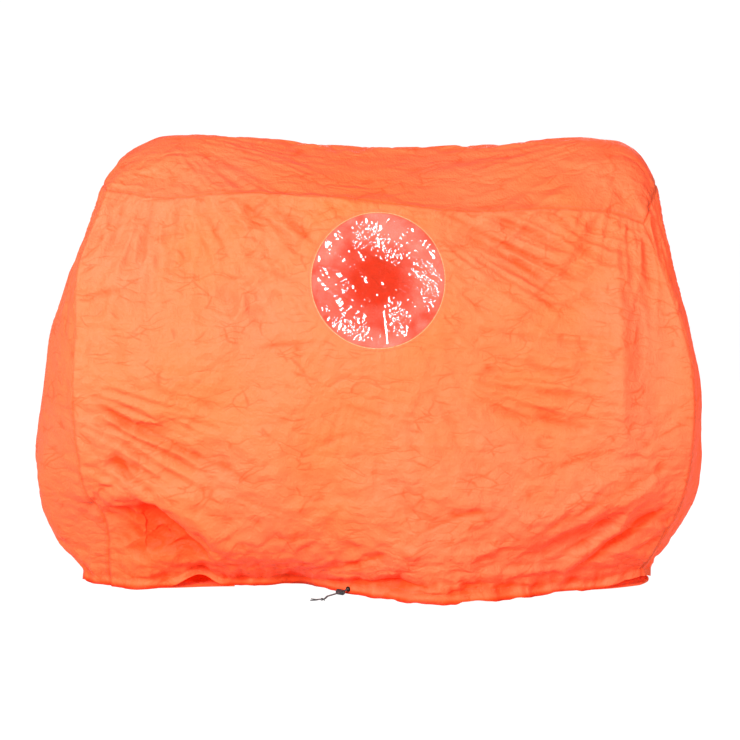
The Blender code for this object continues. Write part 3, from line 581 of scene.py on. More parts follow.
def softened(values: Array, reach: int) -> Array:
    """An array of grid values, each averaged with its neighbours, twice over.

    Args:
        values: array of (columns, rows, ...).
        reach: how many neighbours to each side count.

    Returns:
        The averages, in the shape of values.
    """
    for axis in (0, 1, 0, 1):
        p = np.moveaxis(values, axis, 0)
        ahead, behind = 2 * p[:1] - p[reach:0:-1], 2 * p[-1:] - p[-2 : -reach - 2 : -1]
        padded = np.concatenate([ahead, p, behind])
        total = np.concatenate([np.zeros_like(p[:1]), np.cumsum(padded, axis=0)])
        mean = (total[2 * reach + 1 :] - total[: -2 * reach - 1]) / (2 * reach + 1)
        values = np.moveaxis(mean, 0, axis)
    return values


def noise_at(points: Array, scale: float, seed: float) -> Array:
    """Smooth gradient noise from about -1 to 1 at an array of points.

    Args:
        points: array of points in metres.
        scale: size of its lumps in metres.
        seed: shifts the pattern.

    Returns:
        An array of values.
    """
    place = points / scale + seed
    cell = np.floor(place)
    inside = place - cell
    fade = inside**3 * (inside * (inside * 6 - 15) + 10)
    total = np.zeros(points.shape[:-1])
    for corner in np.ndindex(2, 2, 2):
        at = cell + corner
        mixed = np.sin(at @ (12.9898, 78.233, 37.719)) * 43758.5453
        turn = (mixed - np.floor(mixed)) * 2 * math.pi
        mixed = np.sin(at @ (39.346, 11.135, 83.155)) * 24634.6345
        rise = (mixed - np.floor(mixed)) * 2 - 1
        flat = np.sqrt(1 - rise**2)
        way = np.stack([flat * np.cos(turn), flat * np.sin(turn), rise], axis=-1)
        slope = np.sum(way * (inside - corner), axis=-1)
        total += slope * np.prod(np.where(corner, fade, 1 - fade), axis=-1)
    return total * 1.6


@dataclass(frozen=True)
class Facets:
    """Flat facets between sharp, slightly wandering creases, as in crumpled sheet.

    Attributes:
        folds: for each set of creases its angle, distance apart and height.
        wander: how much the creases bend and end, in distances apart.
    """

    folds: Table
    wander: float = 0.9

    def depth(self, u: Array, v: Array, seed: float) -> Array:
        """Height of the facets at distances u and v along the sheet."""
        spot = np.stack([u, v, np.zeros_like(u)], axis=-1)
        total = np.zeros_like(u)
        for number, (angle, pitch, size) in enumerate(self.folds):
            across = u * math.cos(angle) + v * math.sin(angle)
            bent = across / pitch + self.wander * noise_at(spot, pitch * 1.7, seed + 5.3 * number)
            strength = 0.6 + 0.9 * noise_at(spot, pitch * 3.1, seed + 2.1 * number)
            total += size * (np.abs(bent % 2.0 - 1.0) - 0.5) * np.clip(strength, 0.0, 1.3)
        return total


@dataclass(frozen=True)
class Shards:
    """Patches of parallel sharp creases, each patch turned its own way, as in crushed film.

    Attributes:
        patch: size of a patch.
        pitch: distance from one crease to the next.
        slope: steepness of the flanks of a crease.
        tilt: steepness of a whole patch.
        turns: the two angles that the creases mostly lie across.
        spread: how far the angles stray.
    """

    patch: float
    pitch: float
    slope: float
    tilt: float
    turns: tuple[float, float] = (2.44, 0.35)
    spread: float = 0.6

    def depth(self, u: Array, v: Array, seed: float) -> Array:
        """Height of the creases at distances u and v along the film."""
        place = np.stack([u, v], axis=-1) / self.patch
        nearest = np.full(u.shape, 9.0)
        second, height = nearest.copy(), np.zeros_like(u)
        for step in np.ndindex(3, 3):
            at = np.floor(place) + step - 1.0
            mixed = [at @ (12.9898, 78.233) + seed + 1.7 * k for k in range(4)]
            chance = [(np.sin(value) * 43758.5453) % 1.0 for value in mixed]
            turn = np.where(chance[3] < 0.6, *self.turns) + self.spread * (chance[2] - 0.5)
            off = (place - at - np.stack(chance[:2], axis=-1)) * self.patch
            away = np.hypot(off[..., 0], off[..., 1]) / self.patch
            across = off[..., 0] * np.cos(turn) + off[..., 1] * np.sin(turn)
            beside = off[..., 0] * np.cos(5 * turn) + off[..., 1] * np.sin(5 * turn)
            ridges = np.abs((across / self.pitch + chance[3]) % 2.0 - 1.0) - 0.5
            slope = self.slope * (0.85 + 0.3 * chance[1])
            here = ridges * self.pitch * slope + beside * self.tilt
            closer = away < nearest
            second = np.where(closer, nearest, np.minimum(second, away))
            height = np.where(closer, here, height)
            nearest = np.where(closer, away, nearest)
        return height * eased((second - nearest) / 0.12)


@dataclass
class ClothNet:
    """The whole cloth as arrays of points, one for each side, that share their seams."""

    form: ShelterForm
    front_cells: int = 96
    end_cells: int = 38
    wall_cells: int = 66
    refine: int = 3
    slack: float = 0.006
    low_slack: float = 0.075
    loose_height: float = 0.22
    uneven: float = 0.0012
    frames: int = 36
    most_move: float = 0.018
    end_share: float = 0.75
    end_start: float = 0.58
    end_fade: float = 0.08
    free_hold: float = 0.008
    hem_reach: float = 0.035
    head_hold: float = 0.8
    head_reach: float = 0.09
    window_hold: float = 0.9
    window_reach: float = 0.58
    groove: float = 0.0026
    seam_gathers: float = 0.0022
    head_gathers: float = 0.070
    hem_gathers: float = 0.0050
    heads: tuple[tuple[float, float, float], ...] = ((-0.43, -0.02, 0.93), (0.53, -0.02, 0.925))
    facets: Facets = Facets(((0.50, 0.110, 0.0130), (2.05, 0.085, 0.0110), (1.25, 0.060, 0.0090),
                             (2.65, 0.037, 0.0060), (0.15, 0.027, 0.0044), (1.65, 0.020, 0.0034)))
    fans: Table = (
        (-0.196, 0.961, 0.034, 0.030, 0.30, 0.72, 0.20, 0.12),
        (-0.150, 0.560, 0.050, 0.026, 0.35, 0.46, 0.17, 0.10),
        (-0.405, 0.950, 0.075, 0.034, -0.22, 0.75, 0.17, 0.13),
        (-0.405, 0.950, 0.095, 0.034, -0.46, 0.74, 0.09, 0.11),
        (0.019, 0.660, 0.110, 0.026, 0.02, 0.66, 0.26, 0.22),
        (0.019, 0.660, 0.070, 0.014, 0.05, 0.38, 0.24, 0.12),
        (0.100, -0.060, 0.100, 0.050, 0.50, 0.15, 0.14, 0.09),
        (-0.950, 0.580, 0.050, 0.040, -0.44, 0.34, 0.13, 0.10),
        (0.530, 0.930, 0.110, 0.040, 0.52, 0.74, 0.09, 0.14),
    )
    furrows: Table = (
        (-0.32, 0.83, -0.25, 0.76, -0.0030, 0.007), (-0.28, 0.83, -0.14, 0.73, -0.0040, 0.008),
        (-0.23, 0.83, -0.07, 0.70, -0.0040, 0.008), (-0.20, 0.82, -0.11, 0.74, -0.0030, 0.007),
        (-0.38, 0.83, -0.39, 0.72, -0.0035, 0.009), (-0.43, 0.83, -0.46, 0.70, -0.0035, 0.010),
        (-0.34, 0.81, -0.28, 0.70, -0.0030, 0.008), (-0.26, 0.70, -0.11, 0.64, -0.0030, 0.008),
        (-0.49, 0.82, -0.52, 0.72, -0.0030, 0.009), (-0.31, 0.84, -0.21, 0.78, -0.0030, 0.007),
        (0.12, 0.80, 0.22, 0.76, -0.0040, 0.008), (0.14, 0.79, 0.46, 0.64, -0.0055, 0.010),
        (0.16, 0.76, 0.39, 0.64, -0.0045, 0.008), (0.28, 0.71, 0.39, 0.62, -0.0045, 0.008),
        (0.38, 0.79, 0.46, 0.70, -0.0030, 0.008), (0.24, 0.79, 0.44, 0.70, -0.0035, 0.009),
        (0.24, 0.52, 0.47, 0.44, -0.0035, 0.010), (0.21, 0.46, 0.48, 0.41, -0.0040, 0.010),
        (0.24, 0.40, 0.45, 0.36, -0.0045, 0.010), (0.20, 0.56, 0.46, 0.53, -0.0025, 0.008),
        (0.33, 0.27, 0.51, 0.32, -0.0050, 0.010), (0.13, 0.18, 0.28, 0.20, -0.0055, 0.009),
        (0.07, 0.14, 0.20, 0.19, -0.0055, 0.009), (0.38, 0.12, 0.56, 0.22, -0.0070, 0.014),
        (0.46, 0.08, 0.65, 0.21, -0.0070, 0.014), (0.40, 0.03, 0.63, 0.19, -0.0070, 0.012),
        (0.30, 0.10, 0.46, 0.15, -0.0050, 0.012), (-0.26, 0.52, -0.07, 0.54, -0.0035, 0.008),
        (-0.58, 0.62, -0.48, 0.64, -0.0035, 0.008), (-0.14, 0.31, -0.02, 0.36, -0.0035, 0.009),
        (-0.23, 0.37, -0.14, 0.38, -0.0030, 0.008), (-0.08, 0.42, 0.10, 0.37, -0.0025, 0.009),
        (0.14, 0.42, 0.20, 0.28, -0.0025, 0.009), (0.02, 0.36, 0.01, 0.22, -0.0025, 0.009),
        (-0.57, 0.43, -0.42, 0.32, -0.0075, 0.016), (-0.44, 0.34, -0.31, 0.28, -0.0060, 0.013),
        (-0.58, 0.32, -0.42, 0.25, -0.0065, 0.013), (-0.35, 0.32, -0.21, 0.23, -0.0055, 0.013),
        (-0.53, 0.18, -0.44, 0.19, -0.0060, 0.012), (-0.44, 0.19, -0.33, 0.05, 0.0080, 0.012),
        (-0.50, 0.11, -0.40, 0.10, -0.0050, 0.010), (-0.22, 0.12, -0.08, 0.14, -0.0035, 0.009),
        (-0.28, 0.22, -0.14, 0.18, -0.0035, 0.010), (-0.53, 0.34, -0.48, 0.22, -0.0035, 0.012),
        (0.495, 0.80, 0.512, 0.26, 0.0110, 0.020), (0.567, 0.190, 0.385, 0.045, 0.0095, 0.015),
        (0.590, 0.180, 0.412, 0.038, -0.0085, 0.013), (0.630, 0.325, 0.240, 0.125, 0.0070, 0.020),
        (0.635, 0.295, 0.270, 0.100, -0.0070, 0.016), (0.600, 0.250, 0.330, 0.110, 0.0050, 0.010),
        (-0.530, 0.192, -0.433, 0.192, 0.0080, 0.010), (-0.06, 0.030, 0.14, 0.033, -0.0120, 0.006),
        (-0.09, 0.050, 0.05, 0.105, -0.0080, 0.010), (0.05, 0.018, 0.24, 0.020, -0.0060, 0.005),
        (-0.47, 0.20, -0.49, 0.14, 0.0060, 0.009),
    )
    quiet: Table = ((0.44, 0.15, 0.20, 0.13, 0.55), (0.60, 0.42, 0.09, 0.13, 0.60))
    lips: Table = ((0.16, 0.17, 0.016), (-0.53, 0.06, 0.020), (-0.18, 0.12, -0.012))
    lifts: Table = ((-0.360, 0.040, 0.026), (0.215, 0.030, 0.006))
    pleat: tuple[tuple[float, float], tuple[float, float]] = ((-0.433, 0.201), (-0.290, 0.055))
    eyelet: Eyelet = Eyelet()
    points: dict[Side, Array] = field(default_factory=dict)
    normals: dict[Side, Array] = field(default_factory=dict)
    start: dict[Side, Array] = field(default_factory=dict)
    uv: dict[Side, Array] = field(default_factory=dict)

    def cells(self, side: Side) -> int:
        """How many cells a wall has along it."""
        return self.front_cells if side in LONG_SIDES else self.end_cells

    def build(self) -> None:
        """Makes the net: the hung form, its folds, the relaxed cloth and the fine crinkles."""
        for side in WALLS:
            self.points[side] = self.form.wall(side, self.cells(side), self.wall_cells)
        tops = {side: self.points[side][:, -1] for side in WALLS}
        self.points[Side.ROOF] = self.form.roof(
            tops[Side.FRONT], tops[Side.RIGHT], tops[Side.BACK][::-1], tops[Side.LEFT][::-1])
        self.fold()
        self.relax()
        for side, points in self.points.items():
            self.points[side] = finer(finer(points, self.refine, 0), self.refine, 1)
        for side, points in self.points.items():
            self.normals[side] = self.outward(points)
            self.uv[side] = self.cloth_uv(points)
        self.share_seam_normals()
        self.start = {side: points.copy() for side, points in self.points.items()}
        for side in Side:
            self.crinkle(side)
        for side, points in self.points.items():
            self.normals[side] = self.outward(points)
        self.share_seam_normals()

    def outward(self, points: Array) -> Array:
        """Unit vectors out of the cloth at every point of a side."""
        return unit(np.cross(np.gradient(points, axis=0), np.gradient(points, axis=1)))

    def cloth_uv(self, points: Array) -> Array:
        """Distances in metres along the cloth, across and up, for its weave."""
        across = np.linalg.norm(np.diff(points, axis=0), axis=-1).mean(axis=1)
        up = np.linalg.norm(np.diff(points, axis=1), axis=-1).mean(axis=0)
        u, v = (np.concatenate([[0.0], np.cumsum(steps)]) for steps in (across, up))
        return np.stack(np.broadcast_arrays(u[:, None], v[None, :]), axis=-1)

    def share_seam_normals(self) -> None:
        """Gives both sides of each seam the same way out."""
        n = self.normals
        for k, side in enumerate(WALLS):
            following = WALLS[(k + 1) % 4]
            both = unit(n[side][-1] + n[following][0])
            n[side][-1], n[following][0] = both, both.copy()
        roof = n[Side.ROOF]
        edges = {
            Side.FRONT: roof[:, 0], Side.RIGHT: roof[-1, :],
            Side.BACK: roof[::-1, -1], Side.LEFT: roof[0, ::-1],
        }
        for side, edge in edges.items():
            both = unit(n[side][:, -1] + edge)
            n[side][:, -1] = both
            edge[:] = both

    def window_away(self, points: Array) -> Array:
        """Distance from the middle of the window, in window diameters."""
        return np.hypot(points[..., 0] - self.form.window_x,
                        points[..., 2] - self.form.window_height()) / self.form.window_diameter

    def fold(self) -> None:
        """Pushes each side out and in by its main folds, which fade out towards the seams."""
        form = self.form
        for side, points in self.points.items():
            axis = 0 if side in (*LONG_SIDES, Side.ROOF) else 1
            along = points[..., axis]
            up = points[..., 1] if side is Side.ROOF else points[..., 2]
            ends = sorted((along[0].mean(), along[-1].mean()))
            fade = np.clip(np.minimum(along - ends[0], ends[1] - along) / form.fold_fade, 0, 1)
            if side is not Side.ROOF:
                fade = fade * np.clip((up - form.hem_height) / form.fold_fade, 0, 1)
            if side is Side.FRONT:
                fade = fade * (1 - bell(self.window_away(points) / 0.65, power=4))
            push = sum(crease.depth(along, up) for crease in form.folds(side)) * fade
            push[0], push[-1], push[:, -1], push[:, 0] = 0.0, 0.0, 0.0, 0.0
            points += push[..., None] * self.outward(points)

    def relax(self) -> None:
        """Lets the net crumple as slightly loose cloth, held at hem, heads and window."""
        bm = bmesh.new()
        for points in self.points.values():
            uneven = self.uneven * noise_at(points, 0.030, 13.0)
            points += uneven[..., None] * (0.0, 0.7, 0.7)
            lay_grid(bm, points)
        bmesh.ops.remove_doubles(bm, verts=bm.verts[:], dist=1e-4)
        mesh = bpy.data.meshes.new("slack_cloth")
        bm.to_mesh(mesh)
        bm.free()
        cloth = placed("slack_cloth", mesh)
        start = np.array([vert.co for vert in mesh.vertices])
        nearest = KDTree(len(start))
        for number, place in enumerate(start):
            nearest.insert(place, number)
        nearest.balance()
        weights = {"held": self.hold(start), "loose": bell(start[:, 2] / self.loose_height)}
        for name, values in weights.items():
            group = cloth.vertex_groups.new(name=name)
            for number, weight in enumerate(values.tolist()):
                group.add([number], weight, "REPLACE")
        settings = cloth.modifiers.new("cloth", "CLOTH").settings
        settings.effector_weights.gravity = 0.1
        wanted = {
            "vertex_group_shrink": "loose", "shrink_max": -self.low_slack, "quality": 5,
            "mass": 0.05, "tension_stiffness": 12.0, "compression_stiffness": 10.0,
            "shear_stiffness": 5.0, "bending_stiffness": 0.02, "tension_damping": 6.0,
            "compression_damping": 6.0, "shear_damping": 6.0, "air_damping": 2.0,
            "vertex_group_mass": "held", "pin_stiffness": 1.0, "shrink_min": -self.slack,
        }
        for name, value in wanted.items():
            setattr(settings, name, value)
        scene = bpy.context.scene
        scene.frame_start, scene.frame_end = 1, self.frames
        for frame in range(1, self.frames + 1):
            scene.frame_set(frame)
        graph = bpy.context.evaluated_depsgraph_get()
        relaxed = cloth.evaluated_get(graph).to_mesh()
        moved = np.empty(len(relaxed.vertices) * 3)
        relaxed.vertices.foreach_get("co", moved)
        move = moved.reshape(-1, 3) - start
        size = np.linalg.norm(move, axis=1, keepdims=True)
        limit = self.most_move
        move *= np.where(size > 1e-9, limit * np.tanh(size / limit) / np.maximum(size, 1e-9), 1.0)
        past = (np.abs(start[:, :1]) - self.end_start) / self.end_fade
        move *= 1.0 - self.end_share * eased(past)
        log.info("cloth moved %.1f mm on average and %.1f mm at most",
                 size.mean() * 1000, size.max() * 1000)
        scene.frame_set(1)
        bpy.data.objects.remove(cloth)
        for side, points in self.points.items():
            found = [nearest.find(place)[1] for place in points.reshape(-1, 3)]
            self.points[side] = points + move[found].reshape(points.shape)

    def hold(self, points: Array) -> Array:
        """How firmly each point of the net is held in place, from 0 to 1."""
        weight = np.maximum(self.free_hold, bell(points[:, 2] / self.hem_reach))
        for head in self.heads:
            away = np.linalg.norm(points - np.array(head), axis=1)
            weight = np.maximum(weight, self.head_hold * bell(away / self.head_reach))
        front = points[:, 1] < -0.12
        ring = bell(self.window_away(points) / self.window_reach, power=6) * front
        return np.clip(np.maximum(weight, self.window_hold * ring), 0.0, 1.0)

    def crinkle(self, side: Side) -> None:
        """Adds the small creases, crumples and gathers to one side of the fine net."""
        points, normal = self.points[side], self.normals[side]
        x, y, z = points[..., 0], points[..., 1], points[..., 2]
        roof = side is Side.ROOF
        low = np.zeros_like(z) if roof else np.clip(1.0 - z / 0.45, 0.0, 1.0)
        patches = np.clip(0.5 + 0.7 * noise_at(points, 0.16, 3.1), 0.0, 1.0)
        number = list(Side).index(side)
        u, v = np.moveaxis(self.uv[side], -1, 0)
        share = 1.0 if side in LONG_SIDES else 0.18 if roof else 0.45
        push = self.facets.depth(u, v, 11.0 + 17.0 * number) * (0.12 + 0.62 * low + 0.18 * patches)
        for scale, size, seed in ((0.050, 0.0030, 23.0), (0.026, 0.0016, 29.0)):
            lines = np.exp(-np.abs(noise_at(points, scale, seed)) / 0.14)
            push = push + size * (lines - 0.3) * (0.15 + 0.65 * low + 0.35 * patches)
        if side is Side.FRONT:
            quiet = sum(share * bell((x - cx) / wide, (z - cz) / high)
                        for cx, cz, wide, high, share in self.quiet)
            push = push * (1.0 - np.clip(quiet, 0.0, 0.7))
        push = push * share
        for k, head in enumerate(self.heads):
            ray = points - np.array(head)
            away = np.linalg.norm(ray, axis=-1)
            spokes = noise_at(unit(ray) * 0.1 + away[..., None] * 0.02, 0.010, 60.0 + 7 * k)
            reach = away * eased(away / 0.12) * bell(away / 0.34)
            spokes = np.abs(spokes) ** 0.7 - 0.35
            push = push - self.head_gathers * reach * spokes * (0.5 + share / 2)
        if side is Side.FRONT:
            push = push + self.kept_creases(x, z) + self.drawn_folds(x, z)
        if not roof:
            along = x if side in LONG_SIDES else y
            line = np.stack([along, np.zeros_like(along), z * 0.25], axis=-1)
            gather = noise_at(line, 0.016, 83.0 + 5 * number)
            push = push + self.hem_gathers * gather * bell((z - 0.012) / 0.050)
        push = push * self.calm(side, points) + self.puckers(side)
        points += push[..., None] * normal
        if not roof:
            self.lay_hem(side, points, normal)
        points[..., 2] = np.maximum(points[..., 2], 0.0)

    def puckers(self, side: Side) -> Array:
        """The groove that the thread draws along each seam, with short gathers square to it."""
        u, v = np.moveaxis(self.uv[side], -1, 0)
        edges = [(u, v), (u.max() - u, v), (v.max() - v, u)]
        if side is Side.ROOF:
            edges.append((v, u))
        nearest = np.minimum.reduce([away for away, _ in edges])
        total = -self.groove * bell(nearest / 0.0035)
        for number, (away, along) in enumerate(edges):
            spot = np.stack([along, away * 0.18, np.zeros_like(along)], axis=-1)
            gather = noise_at(spot, 0.012, 91.0 + 7 * number)
            total += self.seam_gathers * gather * np.exp(-away / 0.022) * eased(nearest / 0.006)
        return total

    def shade_in_folds(self, side: Side) -> Array:
        """How much painted shade each point gets, from 0 to 1, and to 2 under the hem.

        Light that bounces to and fro between the flanks of a fold comes out a deeper orange, and
        so does light through the doubled cloth of a seam or hem; that shade is painted into the
        colour.
        """
        points, normal = self.points[side], self.normals[side]
        total = np.zeros(points.shape[:2])
        # Painted shade in folds, where the cloth lies further in than its softened neighbours.
        for reach, full, share in ((2, 0.0030, 0.30), (5, 0.0080, 0.30), (12, 0.0220, 0.40)):
            inward = np.sum((softened(points, reach) - points) * normal, axis=-1)
            total += share * np.clip(inward / full - 0.15, 0.0, 1.0)
        # Less painted shade high on the walls.
        high = 0.0 if side is Side.ROOF else eased((points[..., 2] - 0.30) / 0.35)
        total *= 1.0 - 0.45 * high
        u, v = np.moveaxis(self.uv[side], -1, 0)
        nearest = np.minimum.reduce([u, u.max() - u, v.max() - v, v + (side is not Side.ROOF)])
        # Painted shade along the seams.
        total += 0.50 * bell(nearest / 0.0034)
        if side is Side.ROOF:
            # Painted shade in a band along the roof's edges.
            return np.clip(total + 0.15 * bell(nearest / 0.014, power=4), 0.0, 1.0)
        x, z = points[..., 0], points[..., 2]
        # Painted shade that grows towards the bottom.
        total += 0.12 * np.clip(1.0 - z / 0.30, 0.0, 1.0)
        if side is Side.FRONT:
            # Painted shade in the front's pocket and along its kept furrows.
            total += 1.30 * self.pocket(x, z) + (0.32 + 0.28 * high) * self.furrow_shade(x, z)
        # Painted shadow line just above the hem.
        total = np.clip(total + 0.20 * bell((z - 0.027) / 0.007), 0.0, 1.1)
        # Dark painted shade under the hem, as values up to 2.
        return np.maximum(total, 2.0 * bell(z / 0.0075))

    def pocket(self, x: Array, z: Array) -> Array:
        """How far in each point lies of the tuck at the front's lower left corner, 0 to 1."""
        start, end = self.pleat
        dx, dz = end[0] - start[0], end[1] - start[1]
        below = ((x - start[0]) * dz - (z - start[1]) * dx) / math.hypot(dx, dz)
        middle = np.exp(-(np.abs((x + 0.420) / 0.105) ** 3) - (((z - 0.128) / 0.064) ** 4))
        return eased(below / 0.022) * middle * np.exp(-np.maximum(below, 0.0) / 0.14)

    def calm(self, side: Side, points: Array) -> Array:
        """Where the crinkles must be flat: at seams, at the hem line, at window and eyelet."""
        columns, rows = points.shape[:2]
        i = np.arange(columns)[:, None]
        j = np.arange(rows)[None, :]
        edge = np.minimum(i, columns - 1 - i) / (1.3 * self.refine)
        top = (rows - 1 - j) / (1.3 * self.refine)
        if side is Side.ROOF:
            top = np.minimum(top, j / (1.3 * self.refine))
        mask = eased(edge) * eased(top)
        if side is not Side.ROOF:
            mask = mask * (0.6 + 0.4 * eased(points[..., 2] / 0.03))
        if side is Side.FRONT:
            ring = np.abs(self.window_away(points) - 0.5) * self.form.window_diameter
            mask = mask * (0.15 + 0.85 * eased(ring / 0.018))
            away = np.linalg.norm(points - np.array(self.eyelet.centre), axis=-1)
            mask = mask * eased((away - 0.006) / 0.025)
        return mask

    def drawn_folds(self, x: Array, z: Array) -> Array:
        """Long narrow folds of the front that run out from where the cloth is drawn tight."""
        total = np.zeros_like(x)
        for number, (cx, cz, turn, size, px, pz, wide, high) in enumerate(self.fans):
            away = np.hypot(x - cx, z - cz)
            angle = np.arctan2(z - cz, x - cx)
            where = bell((x - px) / wide, (z - pz) / high)
            for share in (1.0, 0.45):
                spot = np.stack([angle / (turn * share), away / 0.16, np.zeros_like(x)], axis=-1)
                fold = np.abs(noise_at(spot, 1.0, 101.0 + 9 * number + share)) ** 0.75
                total -= share * size * away * (fold - 0.3) * where
        return total

    def furrow_shade(self, x: Array, z: Array) -> Array:
        """How much painted shade lies along the kept furrows at each point, from 0 to about 1."""
        lines = [Crease(kept.start, kept.end, min(-kept.push / 0.0045, 1.6), 0.55 * kept.width)
                 for kept in creases(self.furrows) if kept.push < 0]
        return sum(line.depth(x, z, sharpness=1.3) for line in lines)

    def kept_creases(self, x: Array, z: Array) -> Array:
        """Thin furrows and ridges of the front where the photographed cloth has them."""
        total = 1.1 * sum(crease.depth(x, z, sharpness=1.3) for crease in creases(self.furrows))
        return total - 0.040 * self.pocket(x, z)

    def lay_hem(self, side: Side, points: Array, normal: Array) -> None:
        """Lets the hem wander over the ground, and lays it out or lifts it where the front does."""
        x, z = points[..., 0].copy(), points[..., 2].copy()
        seams = np.linspace(0.0, 1.0, len(points))[:, None]
        free = eased(12 * seams) * eased(12 * (1 - seams))
        ground = points * (1.0, 1.0, 0.15)
        out = 0.016 * noise_at(ground, 0.055, 71.0) * free * bell(z / 0.050)
        rise = 0.006 * np.clip(noise_at(ground, 0.040, 77.0), 0.0, 1.0) * free
        corner = np.hypot(points[..., 0] - 0.575, points[..., 1] + 0.080)
        points[..., 2] += 0.020 * bell(corner / 0.070, z / 0.055)
        if side is not Side.FRONT:
            points[..., :2] += out[..., None] * unit(normal[..., :2])
            points[..., 2] += rise * bell(z / 0.040)
            return
        lip = sum(size * bell((x - cx) / wide, power=4) for cx, wide, size in self.lips)
        near = eased((np.abs(x - self.eyelet.centre[0]) - 0.02) / 0.05)
        out = out * near + lip * near * free * np.clip(1 - z / 0.030, 0, 1) ** 1.6
        out -= 0.5 * lip * near * free * bell((z - 0.040) / 0.014)
        points[..., :2] += out[..., None] * unit(normal[..., :2])
        points[..., 2] += rise * near * bell(z / 0.040)
        lift = sum(size * bell((x - cx) / wide) for cx, wide, size in self.lifts)
        points[..., 2] += lift * bell(z / 0.055)

    def at(self, side: Side, i: Array, j: Array, depth: Array | float = 0.0) -> Array:
        """Points of a side between its grid lines, under the outer face.

        Args:
            side: which side.
            i: places along it, in fine grid lines.
            j: places up it.
            depth: how far inwards, negative for outwards.

        Returns:
            The points.
        """
        laid = self.blend_at(self.points[side], i, j)
        return laid - self.blend_at(self.normals[side], i, j) * np.asarray(depth)[..., None]

    def blend_at(self, values: Array, i: Array, j: Array) -> Array:
        """Values of an array of a side between its grid lines."""
        i, j = np.broadcast_arrays(np.asarray(i, float), np.asarray(j, float))
        i0 = np.clip(np.floor(i).astype(int), 0, values.shape[0] - 2)
        j0 = np.clip(np.floor(j).astype(int), 0, values.shape[1] - 2)
        s, t = (i - i0)[..., None], (j - j0)[..., None]
        return ((1 - s) * (1 - t) * values[i0, j0] + s * (1 - t) * values[i0 + 1, j0]
                + (1 - s) * t * values[i0, j0 + 1] + s * t * values[i0 + 1, j0 + 1])

    def find(self, side: Side, x: Array, z: Array) -> tuple[Array, Array]:
        """Grid places on a long wall that lie at the given x and z.

        Args:
            side: a long wall.
            x: places along it in metres.
            z: heights in metres.

        Returns:
            Places along and up, in fine grid lines.
        """
        points = self.points[side]
        i = np.interp(x, points[:, points.shape[1] // 2, 0], np.arange(points.shape[0]))
        j = np.full_like(i, points.shape[1] / 2)
        for _ in range(12):
            here = self.blend_at(points, i, j)
            step_i = self.blend_at(np.gradient(points, axis=0), i, j)
            step_j = self.blend_at(np.gradient(points, axis=1), i, j)
            det = step_i[..., 0] * step_j[..., 2] - step_i[..., 2] * step_j[..., 0]
            dx, dz = x - here[..., 0], z - here[..., 2]
            i = np.clip(i + (dx * step_j[..., 2] - dz * step_j[..., 0]) / det,
                        0, points.shape[0] - 1)
            j = np.clip(j + (dz * step_i[..., 0] - dx * step_i[..., 2]) / det,
                        0, points.shape[1] - 1)
        return i, j


def add_node(tree: bpy.types.NodeTree, kind: str, settings: dict | None = None,
             links: dict | None = None) -> Node:
    """Adds one node with its settings and links.

    Args:
        tree: the node tree.
        kind: the node's type, without its ShaderNode prefix.
        settings: values for its sockets, by name or number, or for its own properties.
        links: what feeds its inputs, by name or number. A node stands for its first output.

    Returns:
        The node.
    """
    node = tree.nodes.new("ShaderNode" + kind)
    for key, value in (settings or {}).items():
        if isinstance(key, str) and hasattr(node, key):
            setattr(node, key, value)
        else:
            node.inputs[key].default_value = value
    for key, source in (links or {}).items():
        socket = source.outputs[0] if isinstance(source, Node) else source
        tree.links.new(socket, node.inputs[key])
    return node


def new_material(name: str) -> tuple[Material, Adder]:
    """A material without nodes.

    Args:
        name: name of the material.

    Returns:
        The material, and add_node for its own tree.
    """
    made = bpy.data.materials.new(name)
    made.use_nodes = True
    made.node_tree.nodes.clear()
    return made, partial(add_node, made.node_tree)


def ramp(add: Adder, source: Feed, stops: Sequence[tuple[float, str]]) -> Node:
    """Colours by a value.

    Args:
        add: adds a node.
        source: the value.
        stops: positions with sRGB hex codes.

    Returns:
        The node, whose first output is the colour.
    """
    node = add("ValToRGB", links={"Fac": source})
    while len(node.color_ramp.elements) < len(stops):
        node.color_ramp.elements.new(1.0)
    for element, (place, code) in zip(node.color_ramp.elements, stops):
        element.position = place
        element.color = colour(code)
    return node


